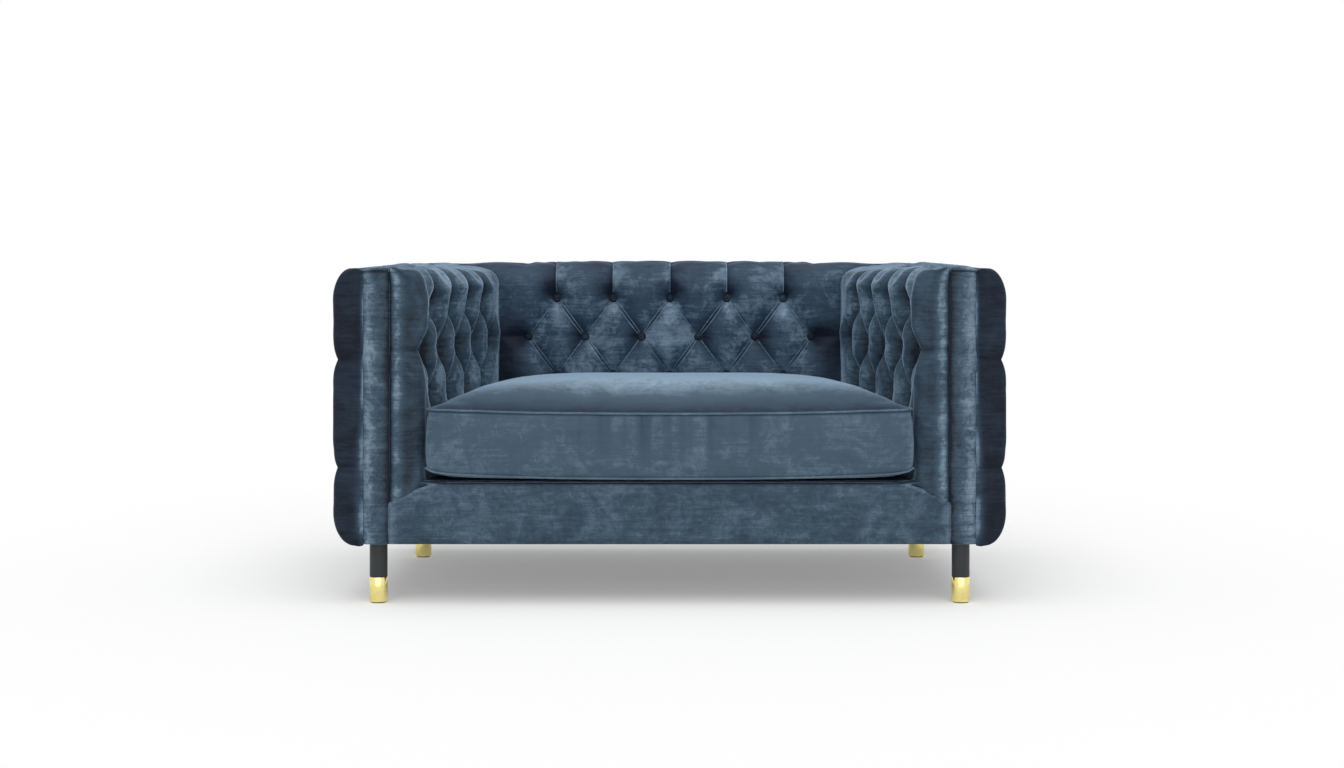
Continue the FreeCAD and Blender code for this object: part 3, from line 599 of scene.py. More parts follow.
def softened(grid: Array, times: int) -> Array:
    """A grid of vectors with each one drawn towards its neighbours.

    Args:
        grid: Rows by columns by three.
        times: How often to do it.

    Returns:
        The softer grid.
    """
    for _ in range(times):
        for axis in (0, 1):
            wide = np.concatenate([grid.take([0], axis), grid, grid.take([-1], axis)], axis)
            count = grid.shape[axis]
            near = wide.take(range(count), axis) + wide.take(range(2, count + 2), axis)
            grid = 0.5 * grid + 0.25 * near
    return grid


def spline_weights(known: int, wanted: int) -> Array:
    """Weights that read a smooth curve through evenly spaced values.

    Args:
        known: Number of given values.
        wanted: Number of values to read.

    Returns:
        One row of weights for each value to read.
    """
    place = np.linspace(0.0, known - 1.0, wanted)
    first = np.minimum(place.astype(int), known - 2)
    t = place - first
    shares = (
        0.5 * (-t + 2 * t ** 2 - t ** 3),
        0.5 * (2 - 5 * t ** 2 + 3 * t ** 3),
        0.5 * (t + 4 * t ** 2 - 3 * t ** 3),
        0.5 * (t ** 3 - t ** 2),
    )
    weights = np.zeros((wanted, known))
    for offset, share in zip((-1, 0, 1, 2), shares):
        column = np.clip(first + offset, 0, known - 1)
        np.add.at(weights, (np.arange(wanted), column), share)
    return weights


def placed(name: str, data: bpy.types.ID) -> Piece:
    """An object for a mesh, lamp or camera, linked to the scene.

    Args:
        name: Its name.
        data: What it shows.

    Returns:
        The object.
    """
    made = bpy.data.objects.new(name, data)
    bpy.context.scene.collection.objects.link(made)
    return made


def mesh_piece(name: str, points: Array, faces: Sequence, finish: Finish,
               marks: dict[str, Array] | None = None, crease: float = 62.0) -> Piece:
    """A closed mesh object with outward faces and smooth shading.

    Args:
        name: The piece's name.
        points: Its points.
        faces: Corner numbers of each face.
        finish: Its material.
        marks: Numbers that the points carry, by name.
        crease: Angle in degrees past which an edge stays sharp.

    Returns:
        The object, linked to the scene.
    """
    mesh = bpy.data.meshes.new(name)
    mesh.from_pydata(points.tolist(), [], faces)
    for mark, values in (marks or {}).items():
        layer = mesh.attributes.new(mark, "FLOAT", "POINT")
        layer.data.foreach_set("value", np.asarray(values, dtype=np.float32))
    work = bmesh.new()
    work.from_mesh(mesh)
    bmesh.ops.recalc_face_normals(work, faces=work.faces)
    work.to_mesh(mesh)
    work.free()
    mesh.shade_smooth()
    mesh.set_sharp_from_angle(angle=math.radians(crease))
    mesh.materials.append(finish.material())
    return placed(name, mesh)


def plain(piece: Piece) -> Piece:
    """Turn a piece's modifiers into a plain mesh.

    Args:
        piece: The piece with live modifiers.

    Returns:
        The same piece without them.
    """
    bpy.context.view_layer.update()
    graph = bpy.context.evaluated_depsgraph_get()
    made = bpy.data.meshes.new_from_object(piece.evaluated_get(graph), depsgraph=graph)
    old = piece.data
    piece.modifiers.clear()
    piece.data = made
    made.name = piece.name
    bpy.data.meshes.remove(old)
    return piece


def rounded(piece: Piece) -> Piece:
    """Subdivide a piece once and make it a plain mesh again.

    Args:
        piece: The piece.

    Returns:
        The same piece.
    """
    step = piece.modifiers.new("rounding", "SUBSURF")
    step.levels = 1
    step.render_levels = 1
    return plain(piece)


def report(piece: Piece, body: Body, replaced: Sequence[str] = ()) -> None:
    """Tie a finished piece to its body, hide the nodes that it stands for, and log it.

    Args:
        piece: The finished piece.
        body: The body that it rides on.
        replaced: CAD nodes that it stands for.
    """
    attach(piece, body.value)
    if replaced:
        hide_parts(*replaced)
    LOG.info("%s: %d faces on %s", piece.name, len(piece.data.polygons), body.value)


@dataclass(frozen=True)
class Stuffing:
    """How a cover swells over its filling, as a short cloth simulation."""

    pressure: float = 4.0
    slack: float = 0.03
    cap: float = 0.009
    frames: int = 20
    bending: float = 0.4

    def swell(self, name: str, points: Array, faces: Sequence, pins: Array) -> Array:
        """Blow the cover up and let it settle.

        Args:
            name: A name for the working mesh.
            points: The cover's points.
            faces: Its faces.
            pins: How firmly each point is held, 0 to 1.

        Returns:
            How far each point moves.
        """
        mesh = bpy.data.meshes.new(name)
        mesh.from_pydata(points.tolist(), [], faces)
        cover = placed(name, mesh)
        held = cover.vertex_groups.new(name="held")
        for level in np.unique(np.round(pins, 1)):
            if level > 0:
                members = np.nonzero(np.round(pins, 1) == level)[0].tolist()
                held.add(members, float(level), "REPLACE")
        cloth = cover.modifiers.new("cover", "CLOTH")
        self._settle(cloth, held.name)
        scene = bpy.context.scene
        for step in range(1, self.frames + 1):
            scene.frame_set(step)
        graph = bpy.context.evaluated_depsgraph_get()
        settled = cover.evaluated_get(graph).data
        found = np.empty(len(points) * 3)
        settled.vertices.foreach_get("co", found)
        scene.frame_set(1)
        bpy.data.objects.remove(cover)
        moved = found.reshape(-1, 3) - points
        length = np.linalg.norm(moved, axis=1, keepdims=True)
        return moved * np.minimum(1.0, self.cap / np.maximum(length, 1e-9))

    def _settle(self, cloth: bpy.types.ClothModifier, held: str) -> None:
        """Set the cloth's properties.

        Args:
            cloth: The modifier.
            held: Name of the group of held points.
        """
        cloth.point_cache.frame_start = 1
        cloth.point_cache.frame_end = self.frames
        cloth.collision_settings.use_collision = False
        cloth.settings.effector_weights.gravity = 0.0
        values = {
            "quality": 5, "mass": 0.35, "tension_stiffness": 14.0, "compression_stiffness": 10.0,
            "shear_stiffness": 4.0, "bending_stiffness": self.bending, "air_damping": 2.0,
            "use_pressure": True, "uniform_pressure_force": self.pressure,
            "shrink_min": -self.slack, "vertex_group_mass": held, "pin_stiffness": 1.0,
        }
        for key, value in values.items():
            setattr(cloth.settings, key, value)


# The planes that the upholstery is built on


@dataclass(frozen=True)
class Layout:
    """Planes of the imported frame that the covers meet."""

    arm_in: float
    arm_out: float
    half_width: float
    front: float
    rear: float
    back_in: float
    back_out: float
    inside_back: float
    top: float
    skirt: float
    deck: float
    pad_bottom: float
    pad_top: float

    @classmethod
    def from_frame(cls) -> "Layout":
        """Read the planes from the CAD nodes' boxes.

        Returns:
            The planes.
        """
        strip_low, strip_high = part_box("arm_border_right")
        back_low, back_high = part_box("back_border")
        outer_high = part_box("outside_arm_pad_right")[1]
        pad_low, pad_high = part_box("inside_back_pad")
        return cls(
            arm_in=strip_low.x, arm_out=strip_high.x, half_width=outer_high.x,
            front=strip_low.y, rear=outer_high.y, back_in=back_low.y, back_out=back_high.y,
            inside_back=pad_low.y, top=strip_high.z, skirt=strip_low.z,
            deck=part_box("deck_pad")[1].z, pad_bottom=pad_low.z, pad_top=pad_high.z)


# Deep-buttoned pads


@dataclass(frozen=True)
class Profile:
    """A pad seen from its end: height and share of the swell, by the length round it."""

    length: Array
    height: Array
    swell: Array

    @classmethod
    def through(cls, points: Sequence[Pair], depth: float, upright: int) -> "Profile":
        """Measure a profile so that length equals height where the pad stands upright.

        Args:
            points: Height and swell, from the bottom up.
            depth: The pad's usual depth.
            upright: Number of a point on the upright stretch.

        Returns:
            The profile.
        """
        height = np.array([p[0] for p in points])
        swell = np.array([p[1] for p in points])
        step = np.hypot(np.diff(height), depth * np.diff(swell))
        length = np.concatenate([[0.0], np.cumsum(step)])
        return cls(length + height[upright] - length[upright], height, swell)

    @property
    def edges(self) -> Pair:
        """Lengths at the lower and the upper edge."""
        return self.length[0], self.length[-1]

    def at(self, length: Array) -> Grids:
        """Height and swell at lengths round the profile."""
        return (np.interp(length, self.length, self.height),
                np.interp(length, self.length, self.swell))


def shoulder(top: float, drop: float, inner: float, lip: float, tuck: float) -> list[Pair]:
    """The rolled top of a pad, from its upright face to the seam on the frame.

    Args:
        top: Height of the pad.
        drop: Height of the roll.
        inner: Share of the swell where the roll ends.
        lip: How far the flat part crowns.
        tuck: How far the seam lies below the top.

    Returns:
        Height and swell of each point.
    """
    points = []
    for angle in np.linspace(0.0, math.pi / 2, 20):
        points.append((top - drop + drop * math.sin(angle), inner + (1 - inner) * math.cos(angle)))
    for share in np.linspace(0.0, 1.0, 14)[1:]:
        height = top + lip * math.sin(math.pi * share) - tuck * share ** 5
        points.append((height, inner * (1 - share)))
    return points


@dataclass(frozen=True)
class Tufting:
    """What the pleats do at each point of a pad."""

    drop: Array
    valley: Array
    nap: Array
    held: Array


@dataclass
class PleatPlan:
    """Buttons and pleats laid out on a pad's flattened cover."""

    seat_drop: float
    pleat_drop: float
    spread: float = 0.019
    dimple: float = 0.026
    crest: float = 0.84
    overfull: float = 1.04
    gather: float = 0.0012
    gathers: int = 11
    gather_at: float = 0.021
    gather_width: float = 0.014
    lip: float = 0.0042
    lean: float = 1.0
    lean_reach: float = 0.046
    overlap: float = 0.55
    tuck_shade: float = 0.8
    tuck_reach: float = 0.034
    looseness: float = 0.03
    hold_reach: float = 0.012
    painted_light_limit: float = 1.2
    buttons: list[Pair] = field(default_factory=list)
    aims: list[float] = field(default_factory=list)
    pleats: list[tuple[float, float, float, float, float, float, int]] = field(default_factory=list)
    folds: list[tuple[float, float, float, float, float, float]] = field(default_factory=list)

    def button(self, u: float, v: float, aim: float) -> None:
        """Set one button, with the side of it on which the cover is lightened."""
        self.buttons.append((u, v))
        self.aims.append(aim)

    def pleat(self, start: Pair, end: Pair,
              firm: Pair = (1.0, 1.0), lips: Sequence[int] = (),
              tuck: int = 0, weight: float = 1.0) -> None:
        """Lay one pleat.

        Args:
            start: Its first end on the flattened cover.
            end: Its other end.
            firm: How deep it is at each end, 0 to 1.
            lips: Sides on which a folded lip shows, each -1, 0 or 1.
            tuck: The side along the pad that lies under the other, or 0.
            weight: Share of the usual thickness of its lips.
        """
        self.pleats.append((*start, *end, *firm, tuck))
        self.folds += [(*start, *end, side * self.lip, weight) for side in lips]

    def measure(self, u: Array, v: Array) -> Tufting:
        """Work out how the cover lies at points of the flattened pad.

        Args:
            u: Places along the pad.
            v: Places up the pad.

        Returns:
            Drop under the crest, painted shade of the crease, painted light and shade with the lightening
            beside buttons, and hold.
        """
        puff = np.ones_like(u)
        nearest = np.ones_like(u)
        nap = np.zeros_like(u)
        for u0, v0, u1, v1, firm0, firm1, tuck in self.pleats:
            du, dv = u1 - u0, v1 - v0
            share = capped(((u - u0) * du + (v - v0) * dv) / (du * du + dv * dv))
            away = np.hypot(u - u0 - share * du, v - v0 - share * dv)
            firm = firm0 + (firm1 - firm0) * share
            if tuck:
                under = (u - u0) * tuck > 0
                firm = firm * np.where(under, 1.0, self.overlap)
                # Painted light and shade beside a tuck: the side that lies under is darkened, the lapping
                # side lightened.
                nap_with_painted_light = np.where(under, -self.tuck_shade, 1.0) * fading(away, self.tuck_reach)
                nap += nap_with_painted_light * capped(9.0 * share) * (1.0 - 0.7 * share) * (share < 1.0)
            puff *= 1.0 - firm * fading(away, self.spread)
            nearest = np.minimum(nearest, away + self.looseness * (1.0 - firm))
        reach = np.ones_like(u)
        ripple = np.zeros_like(u)
        for (u0, v0), aim in zip(self.buttons, self.aims):
            away = np.hypot(u - u0, v - v0)
            turn = np.arctan2(v - v0, u - u0)
            reach = np.minimum(reach, away)
            near = bell(away - self.gather_at, self.gather_width)
            ripple += near * np.cos(self.gathers * turn + 40.0 * u0)
            # The cover lightened beside each button on its aimed side, fading with distance.
            nap += self.lean * np.cos(turn - aim) * bell(away, self.lean_reach)
        depth = self.pleat_drop
        depth = depth + (self.seat_drop - depth) * np.exp(-((reach / self.dimple) ** 1.3))
        fullness = np.minimum(puff / self.crest, self.overfull)
        return Tufting(
            drop=depth * (1.0 - fullness) + self.gather * ripple,
            valley=capped(1.0 - puff / self.crest) ** 1.5,
            nap=np.clip(nap, -self.painted_light_limit, self.painted_light_limit),
            held=capped(1.5 * fading(nearest, self.hold_reach)))


class PadForm:
    """The smooth form of a pad before it is buttoned, over its flattened cover."""

    profile: Profile
    start: float
    end: float
    facing: Triple
    seam_fade: float = 0.05
    fade_power: float = 0.8
    top_shade: float = 0.9
    top_shade_width: float = 0.12

    def plan(self, u: Array, swell: Array) -> Grids:
        """Place along the frame and depth in front of it."""
        raise NotImplementedError

    def place(self, along: Array, depth: Array, height: Array) -> Array:
        """Points in the sofa's frame."""
        raise NotImplementedError

    def lowered(self, u: Array, height: Array) -> Array:
        """Heights where the cover runs lower than the profile says."""
        return height

    def fade(self, u: Array, v: Array) -> Array:
        """How much of the tufting is left towards the top seam."""
        return capped((self.profile.length[-1] - v) / self.seam_fade) ** self.fade_power

    def points(self, u: Array, v: Array, rooted: bool = False) -> Array:
        """Points of the smooth form.

        Args:
            u: Places along the flattened cover.
            v: Places up it.
            rooted: Whether to give the points on the frame behind the cover.

        Returns:
            The points.
        """
        height, swell = self.profile.at(v)
        along, depth = self.plan(u, swell)
        if rooted:
            along, depth = self.root(along), np.zeros_like(depth)
        return self.place(along, depth, self.lowered(u, height))

    def root(self, along: Array) -> Array:
        """Places along the frame where the cover is fixed."""
        return along

    def painted_edge_light(self, u: Array, v: Array) -> Array:
        """Painted shade: the cover darkened towards and over its top."""
        return -self.top_shade * capped((v - self.profile.length[-1]) / self.top_shade_width + 1.0)


@dataclass
class InsideBackForm(PadForm):
    """The inside back between the two mitred corners."""

    layout: Layout
    profile: Profile
    last_button: float
    lock: float = 0.02
    corner_depth: float = 0.1934
    corner_ease: float = 0.03
    fullness: float = 0.93
    seam_fade: float = 0.11
    fade_power: float = 1.0
    top_shade: float = 1.125
    corner_shade: float = 0.85
    corner_start: float = 0.01
    corner_width: float = 0.05
    corner_top: float = 0.65
    corner_fade: float = 0.09
    facing: Triple = (0.0, -1.0, 0.0)

    def __post_init__(self) -> None:
        """Find the cover's ends and where the painted shade in its corners starts."""
        self.depth = self.layout.back_in - self.layout.inside_back
        self.end = self.layout.arm_in - self.corner_depth
        self.start = -self.end
        self.dark_from = self.last_button - self.corner_start

    def plan(self, u: Array, swell: Array) -> Grids:
        """Spread the cover's ends into the corners.

        Args:
            u: Places along the flattened cover.
            swell: Share of the pad's depth.

        Returns:
            Place along the back and depth in front of it.
        """
        lock = self.last_button + self.lock
        corner = self.layout.arm_in - swell * self.corner_depth
        beyond = np.maximum(np.abs(u) - lock, 0.0) / (self.end - lock)
        along = np.sign(u) * (np.minimum(np.abs(u), lock) + beyond * (corner - lock))
        ease = fading(corner - np.abs(along), self.corner_ease)
        return along, swell * self.depth * (1.0 - (1.0 - self.fullness) * ease)

    def place(self, along: Array, depth: Array, height: Array) -> Array:
        """Points in the sofa's frame."""
        return vectors(along, self.layout.back_in - depth, height)

    def painted_edge_light(self, u: Array, v: Array) -> Array:
        """Painted shade: a darker top, and dark lower corners beside the arms."""
        below = self.corner_shade * capped((self.corner_top - v) / self.corner_fade)
        return super().painted_edge_light(u, v) - below * capped((np.abs(u) - self.dark_from) / self.corner_width)


@dataclass
class InsideArmForm(PadForm):
    """The inside arm at +X: a front face, a round corner and a face that deepens to the back."""

    layout: Layout
    profile: Profile
    last_button: float
    lock: float = 0.02
    front_depth: float = 0.0855
    rear_depth: float = 0.208
    corner_radius: float = 0.044
    corner_ease: float = 0.03
    fullness: float = 0.93
    seam_tuck: float = 0.009
    seam_reach: float = 0.011
    seam_width: float = 0.006
    seam_shade: float = 1.6
    ridge_at: float = 0.018
    ridge_width: float = 0.015
    ridge_light: float = 0.9
    front_shade: float = 0.6
    side_light: float = 0.9
    side_reach: float = 0.16
    root_inset: float = 0.014
    mitre_width: float = 0.098
    mitre_drop: float = 0.046
    mitre_lap: float = 0.003
    mitre_band: float = 0.07
    brow: float = 0.007
    brow_width: float = 0.035
    brow_band: float = 0.05
    facing: Triple = (-1.0, 0.0, 0.0)

    def __post_init__(self) -> None:
        """Find the lengths of the plan's parts."""
        span = self.layout.inside_back - self.layout.front
        self.taper = (self.rear_depth - self.front_depth) / (span - self.corner_radius)
        self.back_depth = self.layout.back_in - self.layout.inside_back
        self.frame_end = self.layout.back_in - self.layout.front
        self.face = self.front_depth - self.corner_radius
        self.turn = self.corner_radius * math.pi / 2
        self.start = 0.0
        self.end = self.at(self.frame_end - self.fullness * self.back_depth)

    def at(self, behind: float) -> float:
        """Place on the flattened cover of a point behind the front."""
        return self.face + self.turn + behind - self.corner_radius

    def plan(self, u: Array, swell: Array) -> Grids:
        """Lead the cover across the front, round the corner and back along the arm.

        Args:
            u: Places along the flattened cover.
            swell: Share of the pad's depth.

        Returns:
            Distance behind the front and depth in front of the arm's frame.
        """
        r = self.corner_radius
        lock = self.last_button + self.lock
        behind = u - self.face - self.turn + r
        corner = self.frame_end - swell * self.fullness * self.back_depth
        straight_end = self.frame_end - self.fullness * self.back_depth
        beyond = np.maximum(behind - lock, 0.0) / (straight_end - lock)
        behind = np.minimum(behind, lock) + beyond * (corner - lock)
        crown = self.front_depth + self.taper * (behind - r)
        ease = fading(np.maximum(corner - behind, 0.0), self.corner_ease)
        crown = crown * (1.0 - (1.0 - self.fullness) * ease)
        angle = np.clip((u - self.face) / r, 0.0, math.pi / 2)
        on_arc = u < self.face + self.turn
        along = np.where(on_arc, r * (1.0 - np.cos(angle)), behind)
        depth = np.where(on_arc, self.face + r * np.sin(angle), crown)
        depth = np.where(u < self.face, u, depth)
        along = along + np.where(on_arc, self.seam_tuck * fading(u, self.seam_reach), 0.0)
        return along, swell * depth

    def place(self, along: Array, depth: Array, height: Array) -> Array:
        """Points in the sofa's frame."""
        return vectors(self.layout.arm_in - depth, self.layout.front + along, height)

    def root(self, along: Array) -> Array:
        """Places behind the front where the cover is fixed."""
        return np.maximum(along, self.root_inset)

    def painted_edge_light(self, u: Array, v: Array) -> Array:
        """Painted light and shade: a dark seam with a light ridge beside it, a darker front and a lighter
        side.

        Args:
            u: Places along the flattened cover.
            v: Places up it; not used.

        Returns:
            The painted light and shade.
        """
        ridge = self.ridge_light * bell(u - self.ridge_at, self.ridge_width)
        seam = self.seam_shade * bell(u, self.seam_width)
        side = self.side_light * capped((u - self.face) / self.side_reach)
        return ridge - seam - self.front_shade + side

    def lowered(self, u: Array, height: Array) -> Array:
        """Bring the front face down to the mitre seam, and round its upper edge.

        Args:
            u: Places along the flattened cover.
            height: Heights from the profile.

        Returns:
            The heights.
        """
        angle = np.clip((u - self.face) / self.corner_radius, 0.0, math.pi / 2)
        reach = np.minimum(u, self.face) + self.corner_radius * np.sin(angle)
        seam = -self.mitre_drop * (1.0 - reach / self.mitre_width) - self.mitre_lap
        turned = capped((u - self.face - 0.7 * self.turn) / (0.6 * self.turn))
        low_band = capped((self.layout.pad_bottom + self.mitre_band - height) / self.mitre_band)
        high_band = capped((height - self.layout.pad_top) / self.brow_band + 1.0)
        brow = self.brow * bell(u, self.brow_width) * high_band
        return height + seam * (1.0 - turned) * low_band - brow


@dataclass
class OutsideForm(PadForm):
    """An outside pad with two square ends, along Y on an arm or along X on the back."""

    layout: Layout
    profile: Profile
    half_length: float
    edge_radius: float
    on_arm: bool
    seam_tuck: float = 0.005
    seam_reach: float = 0.009
    brow: float = 0.008
    brow_width: float = 0.05
    brow_band: float = 0.06
    ridge_width: float = 0.0045
    ridge_spread: float = 0.010
    ridge_low: float = 0.50
    ridge_band: float = 0.25
    front_shade: float = 0.80
    front_reach: float = 0.10

    def __post_init__(self) -> None:
        """Find the lengths of the plan's parts."""
        self.depth = self.layout.half_width - self.layout.arm_out
        self.face = self.depth - self.edge_radius
        self.turn = self.edge_radius * math.pi / 2
        self.start = 0.0
        self.end = 2 * (self.face + self.turn + self.half_length - self.edge_radius)
        self.facing = (1.0, 0.0, 0.0) if self.on_arm else (0.0, 1.0, 0.0)

    def at(self, along: float) -> float:
        """Place on the flattened cover of a point along the pad."""
        return self.end / 2 + along

    def plan(self, u: Array, swell: Array) -> Grids:
        """Lead the cover round both square ends.

        Args:
            u: Places along the flattened cover.
            swell: Share of the pad's depth.

        Returns:
            Place along the pad and depth outside the frame.
        """
        r = self.edge_radius
        inward = np.minimum(u, self.end - u)
        side = np.sign(u - self.end / 2)
        angle = np.clip((inward - self.face) / r, 0.0, math.pi / 2)
        from_end = np.where(
            inward > self.face + self.turn, inward - self.face - self.turn + r,
            r * (1.0 - np.cos(angle)))
        depth = np.where(inward < self.face, inward, self.face + r * np.sin(angle))
        from_end = from_end + self.seam_tuck * fading(inward, self.seam_reach)
        return side * (self.half_length - from_end), swell * depth

    def place(self, along: Array, depth: Array, height: Array) -> Array:
        """Points in the sofa's frame, on the arm or on the back."""
        out = depth + (self.layout.arm_out if self.on_arm else self.layout.back_out)
        return vectors(out, along, height) if self.on_arm else vectors(along, out, height)

    def painted_edge_light(self, u: Array, v: Array) -> Array:
        """Painted light and shade: an arm's front darkened, with a light ridge beside its seam, broader
        lower down.

        Args:
            u: Places along the flattened cover.
            v: Places up it.

        Returns:
            The painted light and shade.
        """
        broad = self.ridge_width + self.ridge_spread * capped((self.ridge_low - v) / self.ridge_band)
        ridge = (1.15 + 0.4 * np.sin(41.0 * v)) * bell(u, broad)
        front = capped(1.0 - (u - self.face - self.turn) / self.front_reach)
        return self.on_arm * (ridge - self.front_shade * front)

    def lowered(self, u: Array, height: Array) -> Array:
        """Round the upper edge of an arm's front."""
        high_band = capped((height - self.layout.pad_top) / self.brow_band + 1.0)
        return height - self.on_arm * self.brow * bell(u, self.brow_width) * high_band

    def fade(self, u: Array, v: Array) -> Array:
        """How much of the tufting is left towards the seams at top and bottom."""
        low = capped((v - self.profile.length[0]) / self.seam_fade) ** self.fade_power
        return low * super().fade(u, v)


@dataclass
class TuftedPad:
    """One deep-buttoned pad, with its buttons and the folded lips of its pleats."""

    name: str
    form: PadForm
    plan: PleatPlan
    finish: Velvet
    fill: float = 0.9
    cell: float = 0.0032
    working_cell: float = 0.0085
    root_draw: float = 0.01
    button_radius: float = 0.011
    button_rise: float = 0.0065
    button_lift: float = 0.75
    fold_radius: float = 0.0016
    fold_start: float = 0.09
    fold_steps: int = 22
    softening: int = 2
    stuffing: Stuffing = Stuffing(cap=0.008)

    def grid(self, cell: float) -> Grids:
        """Places of a grid over the flattened cover.

        Args:
            cell: Size of a cell.

        Returns:
            Places along and up the cover.
        """
        low, high = self.form.profile.edges
        columns = 1 + math.ceil((self.form.end - self.form.start) / cell)
        rows = 1 + math.ceil((high - low) / cell)
        along = np.linspace(self.form.start, self.form.end, columns)
        up = np.linspace(low, high, rows)
        return np.meshgrid(along, up)

    def cover(self, u: Array, v: Array) -> tuple[Array, Array, Tufting]:
        """The buttoned cover before it swells.

        Args:
            u: Places along the flattened cover.
            v: Places up it.

        Returns:
            Points, normals of the smooth form, and the tufting.
        """
        smooth = self.form.points(u, v)
        normal = grid_normals(smooth, self.form.facing)
        tufting = self.plan.measure(u, v)
        drop = tufting.drop * self.form.fade(u, v)
        return smooth - normal * drop[..., None], normal, tufting

    def closed(self, points: Array, u: Array, v: Array) -> tuple[Array, list]:
        """Close the cover on the frame behind it.

        Args:
            points: The cover's grid.
            u: Places along the flattened cover.
            v: Places up it.

        Returns:
            All points and faces.
        """
        rows, columns = u.shape
        count = rows * columns
        rim = grid_rim(rows, columns)
        roots = self.form.points(u, v, rooted=True).reshape(-1, 3)[rim]
        middle = roots.mean(axis=0, keepdims=True)
        roots = roots + self.root_draw * (middle - roots)
        faces = grid_quads(rows, columns).tolist()
        size = len(rim)
        for k in range(size):
            ahead = (k + 1) % size
            faces.append([int(rim[k]), int(rim[ahead]), count + ahead, count + k])
            faces.append([count + k, count + ahead, count + size])
        return np.concatenate([points.reshape(-1, 3), roots, middle]), faces

    def build(self) -> "PadMeshes":
        """Swell the cover on a working grid and read it on a fine one.

        Returns:
            The finished grid and what lies on it.
        """
        u, v = self.grid(self.working_cell)
        points, _, tufting = self.cover(u, v)
        everything, faces = self.closed(points, u, v)
        rows, columns = u.shape
        held = np.ones(len(everything))
        held[:rows * columns] = rim_held(tufting.held).reshape(-1)
        moved = self.stuffing.swell(self.name + "_working", everything, faces, held)
        moved = softened(moved[:rows * columns].reshape(rows, columns, 3), self.softening)
        u, v = self.grid(self.cell)
        points, normals, tufting = self.cover(u, v)
        points = points + finer(moved, *u.shape)
        return PadMeshes(self, u, v, points, normals, tufting)


@dataclass
class PadMeshes:
    """The swollen cover of one pad, from which its pieces are made."""

    pad: TuftedPad
    u: Array
    v: Array
    points: Array
    normals: Array
    tufting: Tufting

    def read(self, values: Array, u: float, v: float) -> Array:
        """Value of a grid at one place of the flattened cover.

        Args:
            values: A grid of vectors.
            u: Place along the cover.
            v: Place up it.

        Returns:
            The vector there.
        """
        column = np.interp(u, self.u[0], np.arange(self.u.shape[1]))
        row = np.interp(v, self.v[:, 0], np.arange(self.u.shape[0]))
        c = min(int(column), self.u.shape[1] - 2)
        r = min(int(row), self.u.shape[0] - 2)
        s, t = column - c, row - r
        low = values[r, c] * (1 - s) + values[r, c + 1] * s
        high = values[r + 1, c] * (1 - s) + values[r + 1, c + 1] * s
        return low * (1 - t) + high * t

    def cover_piece(self, name: str, side: Side) -> Piece:
        """The pad itself, mirrored for the left.

        Args:
            name: The piece's name.
            side: Which side it is for.

        Returns:
            The piece.
        """
        points, faces = self.pad.closed(self.points, self.u, self.v)
        spare = np.zeros(len(points) - self.u.size)
        # Painted light and shade of the tufting and of the pad's edges, with the lightening beside the
        # buttons.
        nap_with_painted_light = self.tufting.nap + self.pad.form.painted_edge_light(self.u, self.v)
        marks = {
            "valley": np.concatenate([self.tufting.valley.reshape(-1), spare]),
            "nap": np.concatenate([nap_with_painted_light.reshape(-1), spare]),
        }
        return mesh_piece(name, points * side.mirror, faces, self.pad.finish, marks)

    def button_piece(self, name: str, side: Side) -> Piece:
        """The covered buttons.

        Args:
            name: The piece's name.
            side: Which side they are for.

        Returns:
            The piece.
        """
        spots = self.pad.plan.buttons
        facing = [self.read(self.normals, *spot) * side.mirror for spot in spots]
        seats = [self.read(self.points, *spot) * side.mirror for spot in spots]
        lift = self.pad.button_lift * self.pad.button_rise
        seats = [seat + lift * way for seat, way in zip(seats, facing)]
        tree = ButtonTree(self.pad.button_radius, self.pad.button_rise, VELVET_BUTTON)
        return tree.grow(name, seats, facing)

    def fold_piece(self, name: str, side: Side) -> Piece:
        """The folded lips that lie in the pleats.

        Args:
            name: The piece's name.
            side: Which side they are for.

        Returns:
            The piece.
        """
        radius = self.pad.fold_radius
        start = self.pad.fold_start
        lines = []
        sizes = []
        for u0, v0, u1, v1, aside, weight in self.pad.plan.folds:
            du, dv = u1 - u0, v1 - v0
            line = []
            size = []
            for share in np.linspace(start, 1.0 - start, self.pad.fold_steps):
                arch = math.sin(math.pi * share)
                bow = aside * arch ** 0.35 / math.hypot(du, dv)
                spot = (u0 + share * du - bow * dv, v0 + share * dv + bow * du)
                out = self.read(self.normals, *spot)
                line.append((self.read(self.points, *spot) + 0.5 * radius * out) * side.mirror)
                size.append(weight * radius * (0.3 + 0.7 * arch ** 0.5))
            lines.append(line)
            sizes.append(size)
        return CordTree(VELVET_FOLD).grow(name, lines, sizes, closed=False)


# Geometry Nodes for what repeats or follows a path


def line_mesh(name: str, lines: Sequence, closed: bool) -> bpy.types.Mesh:
    """A mesh of lines without faces.

    Args:
        name: Its name.
        lines: Points of each line.
        closed: Whether each line meets its own start.

    Returns:
        The mesh.
    """
    points = []
    edges = []
    for line in lines:
        first = len(points)
        points += [tuple(point) for point in line]
        edges += [(k, k + 1) for k in range(first, len(points) - 1)]
        if closed:
            edges.append((len(points) - 1, first))
    mesh = bpy.data.meshes.new(name)
    mesh.from_pydata(points, edges, [])
    return mesh


